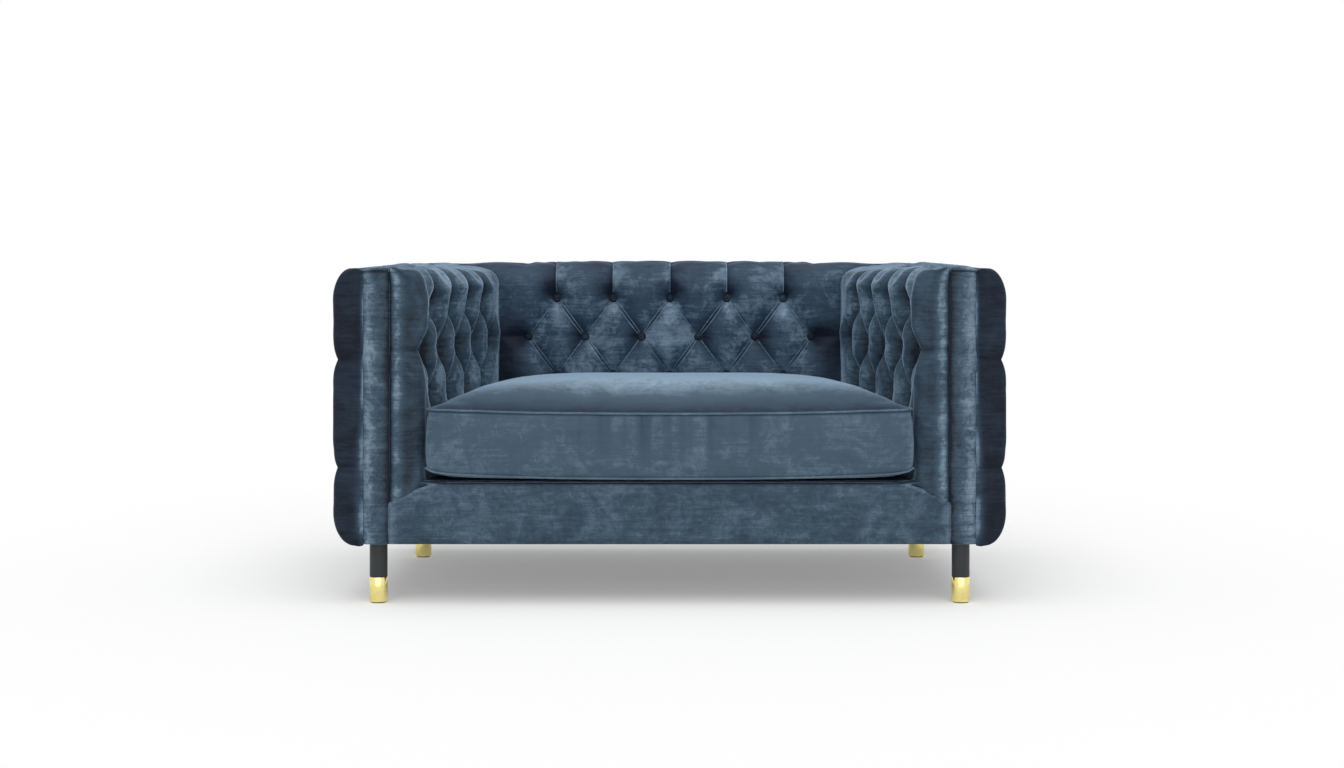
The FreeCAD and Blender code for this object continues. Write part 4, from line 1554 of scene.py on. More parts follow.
class GrownTree:
    """A Geometry Nodes tree that turns points or lines into a plain mesh."""

    title: str

    def __init__(self, finish: Finish) -> None:
        """Make the tree with its geometry sockets.

        Args:
            finish: The material of what grows.
        """
        self.finish = finish
        self.values: dict[str, float] = {}
        tree = bpy.data.node_groups.new(self.title, "GeometryNodeTree")
        for way in ("INPUT", "OUTPUT"):
            tree.interface.new_socket("Geometry", in_out=way, socket_type="NodeSocketGeometry")
        self.net = Net(tree)

    def size(self, name: str, value: float) -> None:
        """Add a named size to the tree's inputs, with the value to give it."""
        self.net.tree.interface.new_socket(name, in_out="INPUT", socket_type="NodeSocketFloat")
        self.values[name] = value

    def entry(self, name: str) -> Wire:
        """One of the tree's inputs, as a wire."""
        node = self.net.tree.nodes.new("NodeGroupInput")
        return Wire(self.net, node.outputs[name])

    def close(self, geometry: Wire) -> None:
        """End the tree in realized, smooth geometry with its material.

        Args:
            geometry: What has grown.
        """
        real = self.net.node("GeometryNodeRealizeInstances", None, {"Geometry": geometry})
        smooth = self.net.node("GeometryNodeSetShadeSmooth", None, {"Geometry": real})
        dressed = self.net.node(
            "GeometryNodeSetMaterial", None, {"Geometry": smooth, "Material": self.finish.material()})
        self.net.feed(self.net.tree.nodes.new("NodeGroupOutput"), {0: dressed})

    def bake(self, name: str, mesh: bpy.types.Mesh) -> Piece:
        """Run the tree on a mesh and keep the result as a plain mesh.

        Args:
            name: The piece's name.
            mesh: Points or lines to grow on.

        Returns:
            The piece.
        """
        piece = bpy.data.objects.new(name, mesh)
        modifier = piece.modifiers.new("grown", "NODES")
        modifier.node_group = self.net.tree
        for item in self.net.tree.interface.items_tree:
            if item.in_out == "INPUT" and item.name in self.values:
                modifier[item.identifier] = self.values[item.name]
        bpy.context.scene.collection.objects.link(piece)
        return plain(piece)


class ButtonTree(GrownTree):
    """Covered buttons set on points, each facing out of its seat."""

    title = "covered_buttons"

    def __init__(self, radius: float, rise: float, finish: Finish, seed: int = 5) -> None:
        """Build the tree.

        Args:
            radius: A button's radius.
            rise: Height of its dome.
            finish: Its cloth.
            seed: Seed of each button's turn.
        """
        super().__init__(finish)
        self.size("Radius", radius)
        self.size("Rise", rise)
        net = self.net
        ball = net.node("GeometryNodeMeshUVSphere", None, {"Segments": 20, "Rings": 10, "Radius": 1.0})
        scale = net.node(
            "ShaderNodeCombineXYZ", None,
            {"X": self.entry("Radius"), "Y": self.entry("Radius"), "Z": self.entry("Rise")})
        dome = net.node("GeometryNodeTransform", None, {"Geometry": ball, "Scale": scale})
        facing = net.node(
            "GeometryNodeInputNamedAttribute", {"data_type": "FLOAT_VECTOR"}, {"Name": "facing"})
        aimed = net.node("FunctionNodeAlignRotationToVector", {"axis": "Z"}, {"Vector": facing})
        angle = net.node(
            "FunctionNodeRandomValue", {"data_type": "FLOAT"}, {2: 0.0, 3: 2 * math.pi, "Seed": seed}, 1)
        spin = net.node(
            "FunctionNodeAxisAngleToRotation", None, {"Axis": (0.0, 0.0, 1.0), "Angle": angle})
        turned = net.node(
            "FunctionNodeRotateRotation", {"rotation_space": "LOCAL"},
            {"Rotation": aimed, "Rotate By": spin})
        self.close(net.node(
            "GeometryNodeInstanceOnPoints", None,
            {"Points": self.entry("Geometry"), "Instance": dome, "Rotation": turned}))

    def grow(self, name: str, seats: Sequence[Array], facing: Sequence[Array]) -> Piece:
        """Set buttons on seats.

        Args:
            name: The piece's name.
            seats: Middle of each seat.
            facing: The way that each button faces.

        Returns:
            The piece.
        """
        mesh = bpy.data.meshes.new(name)
        mesh.from_pydata([tuple(seat) for seat in seats], [], [])
        layer = mesh.attributes.new("facing", "FLOAT_VECTOR", "POINT")
        layer.data.foreach_set("vector", np.asarray(facing, dtype=np.float32).reshape(-1))
        return self.bake(name, mesh)


class CordTree(GrownTree):
    """A round cord along lines, as thick as each point says."""

    title = "sewn_cord"

    def __init__(self, finish: Finish, sides: int = 8) -> None:
        """Build the tree.

        Args:
            finish: The cord's cloth.
            sides: Faces round the cord.
        """
        super().__init__(finish)
        net = self.net
        curve = net.node("GeometryNodeMeshToCurve", None, {"Mesh": self.entry("Geometry")})
        ring = net.node("GeometryNodeCurvePrimitiveCircle", None, {"Resolution": sides, "Radius": 1.0})
        thick = net.node(
            "GeometryNodeInputNamedAttribute", {"data_type": "FLOAT"}, {"Name": "thick"})
        self.close(net.node(
            "GeometryNodeCurveToMesh", None,
            {"Curve": curve, "Profile Curve": ring, "Scale": thick, "Fill Caps": True}))

    def grow(self, name: str, lines: Sequence, sizes: Sequence, closed: bool) -> Piece:
        """Lay cords along lines.

        Args:
            name: The piece's name.
            lines: Points of each line.
            sizes: Radius at each point of each line.
            closed: Whether each line meets its own start.

        Returns:
            The piece.
        """
        mesh = line_mesh(name, lines, closed)
        layer = mesh.attributes.new("thick", "FLOAT", "POINT")
        layer.data.foreach_set("value", np.concatenate(sizes).astype(np.float32))
        return self.bake(name, mesh)


class RowTree(GrownTree):
    """Small blocks in a row along lines, such as staples or zip teeth."""

    title = "block_row"

    def __init__(self, block: Sequence[float], pitch: float, finish: Finish) -> None:
        """Build the tree.

        Args:
            block: Size of a block along, across and out of the line.
            pitch: Distance between blocks.
            finish: Their material.
        """
        super().__init__(finish)
        for name, value in zip(("Length", "Width", "Height"), block):
            self.size(name, value)
        self.size("Pitch", pitch)
        net = self.net
        curve = net.node("GeometryNodeMeshToCurve", None, {"Mesh": self.entry("Geometry")})
        spots = net.node(
            "GeometryNodeCurveToPoints", {"mode": "LENGTH"},
            {"Curve": curve, "Length": self.entry("Pitch")})
        tangent = Wire(net, spots.socket.node.outputs["Tangent"])
        along = net.node("FunctionNodeAlignRotationToVector", {"axis": "X"}, {"Vector": tangent})
        size = net.node(
            "ShaderNodeCombineXYZ", None,
            {"X": self.entry("Length"), "Y": self.entry("Width"), "Z": self.entry("Height")})
        block_mesh = net.node("GeometryNodeMeshCube", None, {"Size": size})
        self.close(net.node(
            "GeometryNodeInstanceOnPoints", None,
            {"Points": spots, "Instance": block_mesh, "Rotation": along}))

    def grow(self, name: str, line: Sequence[Sequence[float]], closed: bool) -> Piece:
        """Set blocks along one line.

        Args:
            name: The piece's name.
            line: The line's points.
            closed: Whether it meets its own start.

        Returns:
            The piece.
        """
        piece = self.bake(name, line_mesh(name, [line], closed))
        piece.data.shade_flat()
        return piece


# Sub-assemblies


@dataclass
class Buttoning:
    """All the deep-buttoned pads of the sofa."""

    layout: Layout
    back_seat: float = 0.034
    back_pleat: float = 0.019
    arm_seat: float = 0.038
    arm_pleat: float = 0.029
    outside_seat: float = 0.030
    outside_pleat: float = 0.017
    inside_roll: float = 0.060
    inside_rise: float = 0.003
    inside_depth: float = 0.112
    outside_roll: float = 0.072
    outside_swell: float = 0.004
    outside_spread: float = 0.021
    back_spread: float = 0.015
    arm_fold: float = 0.0012
    arm_edge: float = 0.014
    arm_cells: Pair = (0.0036, 0.010)
    back_edge: float = 0.006
    back_cells: Pair = (0.0042, 0.011)
    back_gap: float = 0.0004
    tuck_middle: float = -0.001
    button_radius: float = 0.011
    back_count: int = 6
    arm_count: int = 5
    outside_arm_count: int = 5
    outside_back_count: int = 8

    def rows(self, node: str, axis: int) -> Grids:
        """Outermost stations and heights of a pad's buttons, read from their CAD node.

        Args:
            node: The node of buttons.
            axis: 0 for a pad along X, 1 for a pad along Y.

        Returns:
            First and last station, and the three heights.
        """
        low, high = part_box(node)
        ends = np.array([low[axis] + self.button_radius, high[axis] - self.button_radius])
        bottom, top = low.z + self.button_radius, high.z - self.button_radius
        return ends, np.array([bottom, (bottom + top) / 2, top])

    def inside_profile(self) -> Profile:
        """Side view of the inside pads.

        Returns:
            The profile.
        """
        low, top = self.layout.pad_bottom, self.layout.pad_top
        points = [(low, 0.94), (low + 0.04, 0.98), (low + 0.1, 1.0)]
        upright = len(points) - 1
        points += shoulder(top + self.inside_rise, self.inside_roll, 0.45, 0.005, 0.004)
        return Profile.through(points, self.inside_depth, upright)

    def outside_profile(self) -> Profile:
        """Side view of the outside pads, rolled at top and bottom.

        Returns:
            The profile.
        """
        low, top = self.layout.skirt, self.layout.pad_top
        foot = [(2 * low - z, s) for z, s in shoulder(low, self.outside_roll, 0.32, 0.002, 0.004)]
        points = foot[::-1]
        upright = len(points) - 1
        points += shoulder(top, self.outside_roll, 0.42, 0.002, 0.004)
        return Profile.through(points, self.layout.half_width - self.layout.arm_out, upright)

    @staticmethod
    def inside_plan(plan: PleatPlan, stations: Array, heights: Array,
                    ends: Sequence[Pair], tops: Pair,
                    middle_tuck: float) -> None:
        """Pleats of an inside pad: one long row between two short ones.

        Args:
            plan: The empty plan.
            stations: Places of the long row's buttons.
            heights: Heights of the three rows.
            ends: Place of each end of the cover, and how firm the pleat still is there.
            tops: The cover's lower and upper edge.
            middle_tuck: Place where the upright tucks turn from one way to the other.
        """
        low, middle, high = heights
        between = (stations[:-1] + stations[1:]) / 2
        for u in stations:
            plan.button(u, middle, math.pi if u > middle_tuck else 0.0)
        for k, u in enumerate(between):
            tuck = 1 if u > middle_tuck else -1
            for z, way in ((low, -1), (high, 1)):
                plan.button(u, z, -way * math.pi / 2)
                outer, inner = (stations[k], stations[k + 1])[::way * tuck]
                plan.pleat((u, z), (outer, middle), lips=(-1, 1))
                plan.pleat((u, z), (inner, middle), lips=(0,), weight=0.7)
            plan.pleat((u, high), (u, tops[1]), (1.0, 0.45), (0,), tuck)
            plan.pleat((u, low), (u, tops[0]), (0.9, 0.2))
            plan.pleat((stations[k], middle), (stations[k + 1], middle), (0.16, 0.10))
        for station, (end, firm) in zip((stations[0], stations[-1]), ends):
            plan.pleat((station, middle), (end, middle), (0.85, firm))

    def outside_plan(self, stations: Array, heights: Array, ends: Pair,
                     tops: Pair) -> PleatPlan:
        """Pleats of an outside pad: one short row between two long ones.

        Args:
            stations: Places of the long rows' buttons.
            heights: Heights of the three rows.
            ends: The cover's two ends.
            tops: The cover's lower and upper edge.

        Returns:
            The plan.
        """
        plan = PleatPlan(self.outside_seat, self.outside_pleat, spread=self.outside_spread, crest=0.9)
        low, middle, high = heights
        between = (stations[:-1] + stations[1:]) / 2
        for u in stations:
            plan.button(u, low, math.pi / 2)
            plan.button(u, high, -math.pi / 2)
        for u in between:
            plan.button(u, middle, -math.pi / 2)
        for k, u in enumerate(between):
            for z in (low, high):
                plan.pleat((u, middle), (stations[k], z), lips=(-1, 1))
                plan.pleat((u, middle), (stations[k + 1], z), lips=(-1, 1))
        for u in stations:
            plan.pleat((u, high), (u, tops[1]), (0.9, 0.5), (0,), 1)
            plan.pleat((u, low), (u, tops[0]), (0.9, 0.4), (0,), 1)
        for z, firm in ((low, (0.65, 0.34)), (high, (0.74, 0.44))):
            plan.pleat((stations[0], z), (ends[0], z), firm)
            plan.pleat((stations[-1], z), (ends[1], z), firm)
        return plan

    def inside_back(self) -> TuftedPad:
        """The inside back.

        Returns:
            The pad.
        """
        ends, heights = self.rows("inside_back_buttons", 0)
        form = InsideBackForm(self.layout, self.inside_profile(), ends[1])
        stations = np.linspace(ends[0], ends[1], self.back_count)
        plan = PleatPlan(self.back_seat, self.back_pleat, spread=self.back_spread)
        ends = ((form.start, 0.05), (form.end, 0.05))
        self.inside_plan(plan, stations, heights, ends, form.profile.edges, self.tuck_middle)
        return TuftedPad("inside_back", form, plan, VELVET_INSIDE)

    def inside_arm(self) -> TuftedPad:
        """The inside arm at +X.

        Returns:
            The pad.
        """
        ends, heights = self.rows("inside_arm_buttons_right", 1)
        behind = ends - self.layout.front
        form = InsideArmForm(self.layout, self.inside_profile(), behind[1])
        stations = np.linspace(form.at(behind[0]), form.at(behind[1]), self.arm_count)
        plan = PleatPlan(self.arm_seat, self.arm_pleat, lean=0.45)
        ends = ((form.start, 0.24), (form.end, 0.05))
        self.inside_plan(plan, stations, heights, ends, form.profile.edges, form.start)
        return TuftedPad("inside_arm", form, plan, VELVET_ARM, fold_radius=self.arm_fold)

    def outside(self, name: str, suffix: str, form: OutsideForm, count: int,
                cells: Pair) -> TuftedPad:
        """One outside pad.

        Args:
            name: Its name.
            suffix: Ending of the CAD node of its buttons.
            form: Its form.
            count: Buttons in a long row.
            cells: Size of a fine and of a working cell.

        Returns:
            The pad.
        """
        ends, heights = self.rows(name + "_buttons" + suffix, int(form.on_arm))
        stations = np.linspace(form.at(ends[0]), form.at(ends[1]), count)
        plan = self.outside_plan(stations, heights, (form.start, form.end), form.profile.edges)
        return TuftedPad(name, form, plan, VELVET_OUTSIDE, cell=cells[0], working_cell=cells[1],
                         stuffing=Stuffing(cap=self.outside_swell))

    def outside_arm(self) -> TuftedPad:
        """The outside arm at +X."""
        form = OutsideForm(self.layout, self.outside_profile(), self.layout.rear, self.arm_edge, True)
        return self.outside("outside_arm", "_right", form, self.outside_arm_count, self.arm_cells)

    def outside_back(self) -> TuftedPad:
        """The outside back between the outside arms.

        Returns:
            The pad.
        """
        half = self.layout.arm_out - self.back_gap
        form = OutsideForm(self.layout, self.outside_profile(), half, self.back_edge, False)
        return self.outside("outside_back", "", form, self.outside_back_count, self.back_cells)

    def build(self) -> None:
        """Make every pad with its buttons and folds."""
        for pad in (self.inside_back(), self.outside_back()):
            self.dress(pad, pad.build(), "", Side.RIGHT)
        for pad in (self.inside_arm(), self.outside_arm()):
            made = pad.build()
            for side in Side:
                self.dress(pad, made, "_" + side.word, side)

    def dress(self, pad: TuftedPad, made: PadMeshes, suffix: str, side: Side) -> None:
        """Make one pad's pieces and tie them to the sofa.

        Args:
            pad: The pad.
            made: Its swollen cover.
            suffix: Ending of the CAD nodes' names.
            side: Which side it is for.
        """
        cover = made.cover_piece(pad.name + "_cover" + suffix, side)
        report(cover, Body.SOFA, [pad.name + "_pad" + suffix])
        buttons = made.button_piece(pad.name + "_covered_buttons" + suffix, side)
        report(buttons, Body.SOFA, [pad.name + "_buttons" + suffix])
        folds = made.fold_piece(pad.name + "_pleat_folds" + suffix, side)
        report(folds, Body.SOFA)


@dataclass
class Borders:
    """The plain padded strips: arm fronts and tops, the back's top and the seat's front."""

    layout: Layout
    padding: float = 0.010
    crown: float = 0.004
    edge_tuck: float = 0.003
    edge_reach: float = 0.0045
    bend: float = 0.016
    cell: float = 0.006
    lap: float = 0.002
    corner_seam: float = 0.0055
    seam_width: float = 0.0030
    seam_shade_width: float = 0.0032
    front_bend: float = 0.014
    front_cell: float = 0.009
    front_edge_reach: float = 0.006
    front_ridge: float = 0.010
    foot_tuck: float = 0.006
    foot_reach: float = 0.008
    mitre_width: float = 0.098
    mitre_drop: float = 0.046
    mitre_start: float = 0.006
    mitre_blend: float = 0.010
    shade_start: float = 0.004
    shade_blend: float = 0.008
    roll_depth: float = 0.040
    fill: float = 0.8
    stuffing: Stuffing = Stuffing(pressure=3.0, slack=0.02, cap=0.003)

    def strip(self, name: str, path: Array, outward: Array, across: Array, width: float,
              seam_at: Sequence[float] = ()) -> Piece:
        """A padded strip along a path.

        Args:
            name: The piece's name.
            path: Points along one edge of the strip, on the cover's face.
            outward: The way that the face looks at each point.
            across: Unit vector over the strip's width.
            width: The strip's width.
            seam_at: Lengths along the path where a seam crosses it.

        Returns:
            The piece.
        """
        share = np.linspace(-1.0, 1.0, 1 + round(width / self.cell))
        nearer = (share + 1.0) / 2
        bulge = self.crown * (1.0 - np.abs(share) ** 2.4)
        tuck = self.edge_tuck * fading((1.0 - np.abs(share)) * width / 2, self.edge_reach)
        lift = np.tile(bulge - self.crown - tuck, (len(path), 1))
        # Painted light and shade: the strip is lighter towards its outer edge and dark along its seam
        # with the inside pad.
        nap_with_painted_light = 0.6 * bell(nearer - 0.78, 0.22) - 1.8 * fading(nearer, 0.20)
        nap_with_painted_light = np.tile(nap_with_painted_light, (len(path), 1))
        step = np.linalg.norm(np.diff(path, axis=0), axis=1)
        length = np.concatenate([[0.0], np.cumsum(step)])[:, None]
        for place in seam_at:
            groove = bell(length - place, self.seam_width)
            lift -= self.corner_seam * groove * (1.0 - np.abs(share) ** 3)
            # Painted shade along the corner seam, and the top past the corner painted lighter.
            nap_with_painted_light -= 1.6 * bell(length - place, self.seam_shade_width)
            nap_with_painted_light += 0.35 * (length > place)
        offset = nearer * (width + 2 * self.lap) - self.lap
        base = path[:, None, :] + across * offset[None, :, None]
        face = base + outward[:, None, :] * lift[..., None]
        back = base - outward[:, None, :] * self.padding
        return self.padded_shell(name, face, back, VELVET_BORDER, nap_with_painted_light)

    def padded_shell(self, name: str, face: Array, back: Array, finish: Finish,
                     nap_with_painted_light: Array | float = 0.0) -> Piece:
        """A closed shell from a face grid and a back grid, swollen a little and rounded.

        Args:
            name: The piece's name.
            face: The outer grid.
            back: The grid on the frame behind it.
            finish: Its cloth.
            nap_with_painted_light: The painted light and shade on the face.

        Returns:
            The piece.
        """
        rows, columns = face.shape[:2]
        count = rows * columns
        quads = grid_quads(rows, columns)
        rim = grid_rim(rows, columns)
        ahead = np.roll(rim, -1)
        walls = np.stack([rim, rim + count, ahead + count, ahead], axis=-1)
        faces = np.concatenate([quads, quads[:, ::-1] + count, walls]).tolist()
        points = np.concatenate([face.reshape(-1, 3), back.reshape(-1, 3)])
        held = np.ones(2 * count)
        held[:count] = rim_held(np.zeros((rows, columns))).reshape(-1)
        points = points + self.stuffing.swell(name + "_working", points, faces, held)
        nap = np.zeros(2 * count)
        nap[:count] = np.broadcast_to(nap_with_painted_light, (rows, columns)).reshape(-1)
        return rounded(mesh_piece(name, points, faces, finish, {"nap": nap}))

    def over_edge(self, top: float, turn: float, rear: float,
                  steps: Sequence[int]) -> tuple[Array, Array, Array]:
        """A line up the front, round its upper edge and back along the top.

        Args:
            top: Height of the top.
            turn: Radius of the edge.
            rear: Where the line ends.
            steps: Points up, round and back.

        Returns:
            Y, Z and the way that the cover faces, at each point.
        """
        front = self.layout.front
        rise = np.linspace(self.layout.skirt, top - turn, steps[0])
        angle = np.linspace(0.0, math.pi / 2, steps[1])[1:]
        run = np.linspace(front + turn, rear, steps[2])[1:]
        y = np.concatenate([np.full_like(rise, front), front + turn * (1 - np.cos(angle)), run])
        z = np.concatenate([rise, top - turn + turn * np.sin(angle), np.full_like(run, top)])
        facing = np.concatenate([np.zeros_like(rise), angle, np.full_like(run, math.pi / 2)])
        return y, z, vectors(0.0, -np.cos(facing), np.sin(facing))

    def arm(self, side: Side) -> None:
        """One arm's strip, up its front and back along its top.

        Args:
            side: Which arm.
        """
        layout = self.layout
        y, z, outward = self.over_edge(layout.top, self.bend, layout.back_out, (100, 19, 124))
        path = vectors(side.value * layout.arm_in, y, z)
        across = np.array([side.value, 0.0, 0.0])
        corner = layout.top - self.bend - layout.skirt + self.bend * math.pi / 8
        width = layout.arm_out - layout.arm_in
        piece = self.strip("arm_strip_" + side.word, path, outward, across, width, [corner])
        report(piece, Body.SOFA, ["arm_border_" + side.word])

    def back(self) -> None:
        """The strip along the top of the back."""
        layout = self.layout
        path = vectors(np.linspace(-layout.arm_in, layout.arm_in, 200), layout.back_in, layout.top)
        outward = np.tile([0.0, 0.0, 1.0], (len(path), 1))
        across = np.array([0.0, 1.0, 0.0])
        piece = self.strip("back_strip", path, outward, across, layout.back_out - layout.back_in)
        report(piece, Body.SOFA, ["back_border"])

    def front(self) -> None:
        """The border over the front rail, mitred into the inside arms."""
        layout = self.layout
        rear = layout.front + self.roll_depth
        y, z, outward = self.over_edge(layout.deck, self.front_bend, rear, (22, 8, 7))
        above = capped((z - layout.deck + self.mitre_drop) / self.mitre_drop)
        behind = capped((y - layout.front - self.mitre_start) / self.mitre_blend)
        half = layout.arm_in + self.lap - self.mitre_width * above * (1.0 - behind)
        share = np.linspace(-1.0, 1.0, 1 + round(2 * layout.arm_in / self.front_cell))
        edge = (1.0 - np.abs(share)) * half[:, None]
        foot = self.foot_tuck * fading(z - layout.skirt, self.foot_reach)
        lift = -self.edge_tuck * fading(edge, self.front_edge_reach) - foot[:, None]
        base = vectors(half[:, None] * share, y[:, None], z[:, None])
        face = base + outward[:, None, :] * lift[..., None]
        back = base - outward[:, None, :] * self.padding
        # Painted light and shade: a lighter ridge near each end of the border, and its top darkened where
        # the cushion shades it.
        shade = capped((y - layout.front - self.shade_start) / self.shade_blend)
        nap_with_painted_light = 1.4 * bell(edge - self.front_ridge, self.front_ridge) - 3.0 * shade[:, None]
        piece = self.padded_shell("front_border_cover", face, back, VELVET_FRONT, nap_with_painted_light)
        report(piece, Body.SOFA, ["front_border"])

    def build(self) -> None:
        """Make all the strips."""
        for side in Side:
            self.arm(side)
        self.back()
        self.front()


@dataclass
class SeatCushion:
    """The loose bench cushion: boxed, piped, crowned, with a zip at its rear."""

    layout: Layout
    arm_front_depth: float = 0.084
    arm_rear_depth: float = 0.208
    arm_corner: float = 0.040
    gap: float = 0.0012
    crown: float = 0.056
    crown_across: float = 4.2
    crown_deep: float = 3.0
    crown_round: float = 0.7
    corner: float = 0.020
    top_inset: float = 0.006
    foot_inset: float = 0.003
    foot_corner: float = 0.009
    welt_sag: float = 0.008
    foot_sag: float = 0.013
    piping_radius: float = 0.0026
    cad_piping_radius: float = 0.0028
    rear_room: float = 0.003
    front_room: float = 0.004
    zip_room: float = 0.02
    zip_gap: float = 0.0002
    tooth: Triple = (0.0014, 0.0012, 0.0042)
    tooth_pitch: float = 0.0030
    tooth_sink: float = 0.0004
    chain_inset: float = 0.002
    ripple: float = 0.0026
    puckers: Sequence[Pair] = ((0.083, 0.8), (0.049, 0.7), (0.031, 0.5))
    cells_across: int = 120
    cells_deep: int = 68
    cells_high: int = 17
    stuffing: Stuffing = Stuffing(pressure=3.0, slack=0.015, cap=0.010, bending=1.0)

    def __post_init__(self) -> None:
        """Read the cushion's planes from its CAD nodes."""
        low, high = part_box("seat_cushion_cover")
        piping_low, piping_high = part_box("seat_cushion_piping")
        self.front, self.rear, self.bottom = low.y, high.y, low.z
        self.low_seam = piping_low.z + self.cad_piping_radius
        self.high_seam = piping_high.z - self.cad_piping_radius
        span = self.layout.inside_back - self.layout.front
        self.taper = (self.arm_rear_depth - self.arm_front_depth) / (span - self.arm_corner)

    def half_width(self, y: Array) -> Array:
        """Half the room between the inside arms."""
        deep = self.arm_front_depth + self.taper * (y - self.layout.front - self.arm_corner)
        return self.layout.arm_in - deep - self.gap

    def plan(self, a: Array, b: Array, inset: Array) -> Grids:
        """Plan of a point, with the corners rounded.

        Args:
            a: Share of the half width, -1 to 1.
            b: Share of the half depth, -1 to 1.
            inset: Distance inside the outline.

        Returns:
            X and Y.
        """
        middle = (self.front + self.rear) / 2
        half_deep = (self.rear - self.front) / 2 - inset
        y = middle + b * half_deep
        half = self.half_width(y) - inset
        across = a * half
        deep = np.abs(b) * half_deep
        into_x = np.clip(np.abs(across) - half + self.corner, 0.0, self.corner) / self.corner
        into_y = np.clip(deep - half_deep + self.corner, 0.0, self.corner) / self.corner
        shrink_x = into_x * (1.0 - np.sqrt(1.0 - into_y ** 2 / 2)) * self.corner
        shrink_y = into_y * (1.0 - np.sqrt(1.0 - into_x ** 2 / 2)) * self.corner
        return across - np.sign(a) * shrink_x, y - np.sign(b) * shrink_y

    def seams(self, a: Array) -> Grids:
        """Heights of the lower and upper seam, both sagging in the middle.

        Args:
            a: Share of the half width.

        Returns:
            Lower and upper height.
        """
        hang = 1.0 - np.abs(a) ** 2.6
        low = self.low_seam - self.foot_sag * hang + self.foot_corner * np.abs(a) ** 26
        return low, self.high_seam - self.welt_sag * hang

    def shell(self) -> tuple[Array, list, Array, Array, dict[str, Array]]:
        """The cushion's start shape.

        Returns:
            Points, faces, hold and painted light of each point, and the seams' point numbers.
        """
        across = np.linspace(-1.0, 1.0, self.cells_across + 1)
        deep = np.linspace(-1.0, 1.0, self.cells_deep + 1)
        a, b = np.meshgrid(across, deep)
        low, high = self.seams(a)
        dome = (1.0 - np.abs(a) ** self.crown_across) * (1.0 - np.abs(b) ** self.crown_deep)
        dome = np.abs(dome) ** self.crown_round
        foot = (1.0 - np.abs(a) ** 16) * (1.0 - np.abs(b) ** 9)
        x, y = self.plan(a, b, np.full_like(a, self.top_inset))
        top = vectors(x, y, high + self.crown * dome).reshape(-1, 3)
        x, y = self.plan(a, b, np.full_like(a, self.foot_inset))
        base = vectors(x, y, low - (low - self.bottom) * foot).reshape(-1, 3)
        count = a.size
        rim = grid_rim(*a.shape)
        size = len(rim)
        levels = np.linspace(0.0, 1.0, self.cells_high + 1)[1:-1]
        # Painted light and shade on the top: darker at the front of the crown and lighter towards the
        # rear crest, standing in for the velvet's sheen.
        toward_rear = capped((b + 1.0) / 2 / 0.32) ** 0.75
        nap_with_painted_light = [np.zeros(count), (2.1 * toward_rear - 1.0).reshape(-1)]
        rings = []
        for level in levels:
            inset = np.full(size, self.top_inset * level ** 1.4 + self.foot_inset * (1 - level) ** 4)
            ring_x, ring_y = self.plan(a.reshape(-1)[rim], b.reshape(-1)[rim], inset)
            ring_z = base[rim, 2] + level * (top[rim, 2] - base[rim, 2])
            on_front = capped((self.front + 0.05 - ring_y) / 0.05)
            waves = sum(share * np.sin(2 * math.pi * ring_x / length + 300.0 * length)
                        for length, share in self.puckers)
            pull = bell(ring_x, 0.20) * level ** 1.6 * (1.0 - level ** 14)
            ring_y = ring_y + self.ripple * waves * pull * on_front
            rings.append(vectors(ring_x, ring_y, ring_z))
            from_side = self.half_width(ring_y) - np.abs(ring_x)
            # Painted light and shade on the front: lighter beside the ends, darker in the puckers'
            # hollows.
            rim_light = 0.45 * bell(from_side, 0.014)
            nap_with_painted_light.append((rim_light - 0.8 * np.maximum(waves, 0.0) * pull) * on_front)
        points = np.concatenate([base, top] + rings)
        quads = grid_quads(*a.shape)
        faces = [quads[:, ::-1], quads + count]
        loops = [2 * count + k * size + np.arange(size) for k in range(len(levels))]
        loops = [rim, *loops, rim + count]
        for lower, upper in zip(loops, loops[1:]):
            faces.append(np.stack([lower, np.roll(lower, -1), np.roll(upper, -1), upper], axis=-1))
        held = np.zeros(len(points))
        held[:count] = np.where(foot.reshape(-1) > 0.5, 1.0, 0.3)
        held[rim] = 1.0
        held[rim + count] = 1.0
        seams = {"low": rim, "high": rim + count}
        return points, np.concatenate(faces).tolist(), held, np.concatenate(nap_with_painted_light), seams

    def settle(self, points: Array) -> Array:
        """Keep the swollen cover inside the room it has.

        Args:
            points: The swollen cover.

        Returns:
            The cover, pressed back where it met the deck, the arms or the zip.
        """
        x, y, z = points.T
        limit = self.half_width(y)
        x = np.clip(x, -limit, limit)
        low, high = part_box("cushion_zip")
        level = (low.z + high.z) / 2
        by_zip = (np.abs(z - level) < self.zip_room) & (np.abs(x) < high.x + self.zip_room)
        limit = np.where(by_zip, low.y - self.zip_gap, self.rear + self.rear_room)
        y = np.clip(y, self.front - self.front_room, limit)
        return vectors(x, y, np.maximum(z, self.bottom))

    def build(self) -> None:
        """Make the cushion, its piping and its zip."""
        points, faces, held, nap, seams = self.shell()
        moved = self.stuffing.swell("cushion_working", points, faces, held)
        shape = (self.cells_deep + 1, self.cells_across + 1, 3)
        count = shape[0] * shape[1]
        moved[count:2 * count] = softened(moved[count:2 * count].reshape(shape), 3).reshape(-1, 3)
        points = self.settle(points + moved)
        cover = rounded(mesh_piece("cushion_cover", points, faces, VELVET_CUSHION, {"nap": nap}))
        replaced = ["seat_cushion_cover", "seat_cushion_core"]
        report(cover, Body.CUSHION, replaced)
        self.piping(points, seams)
        self.zip()

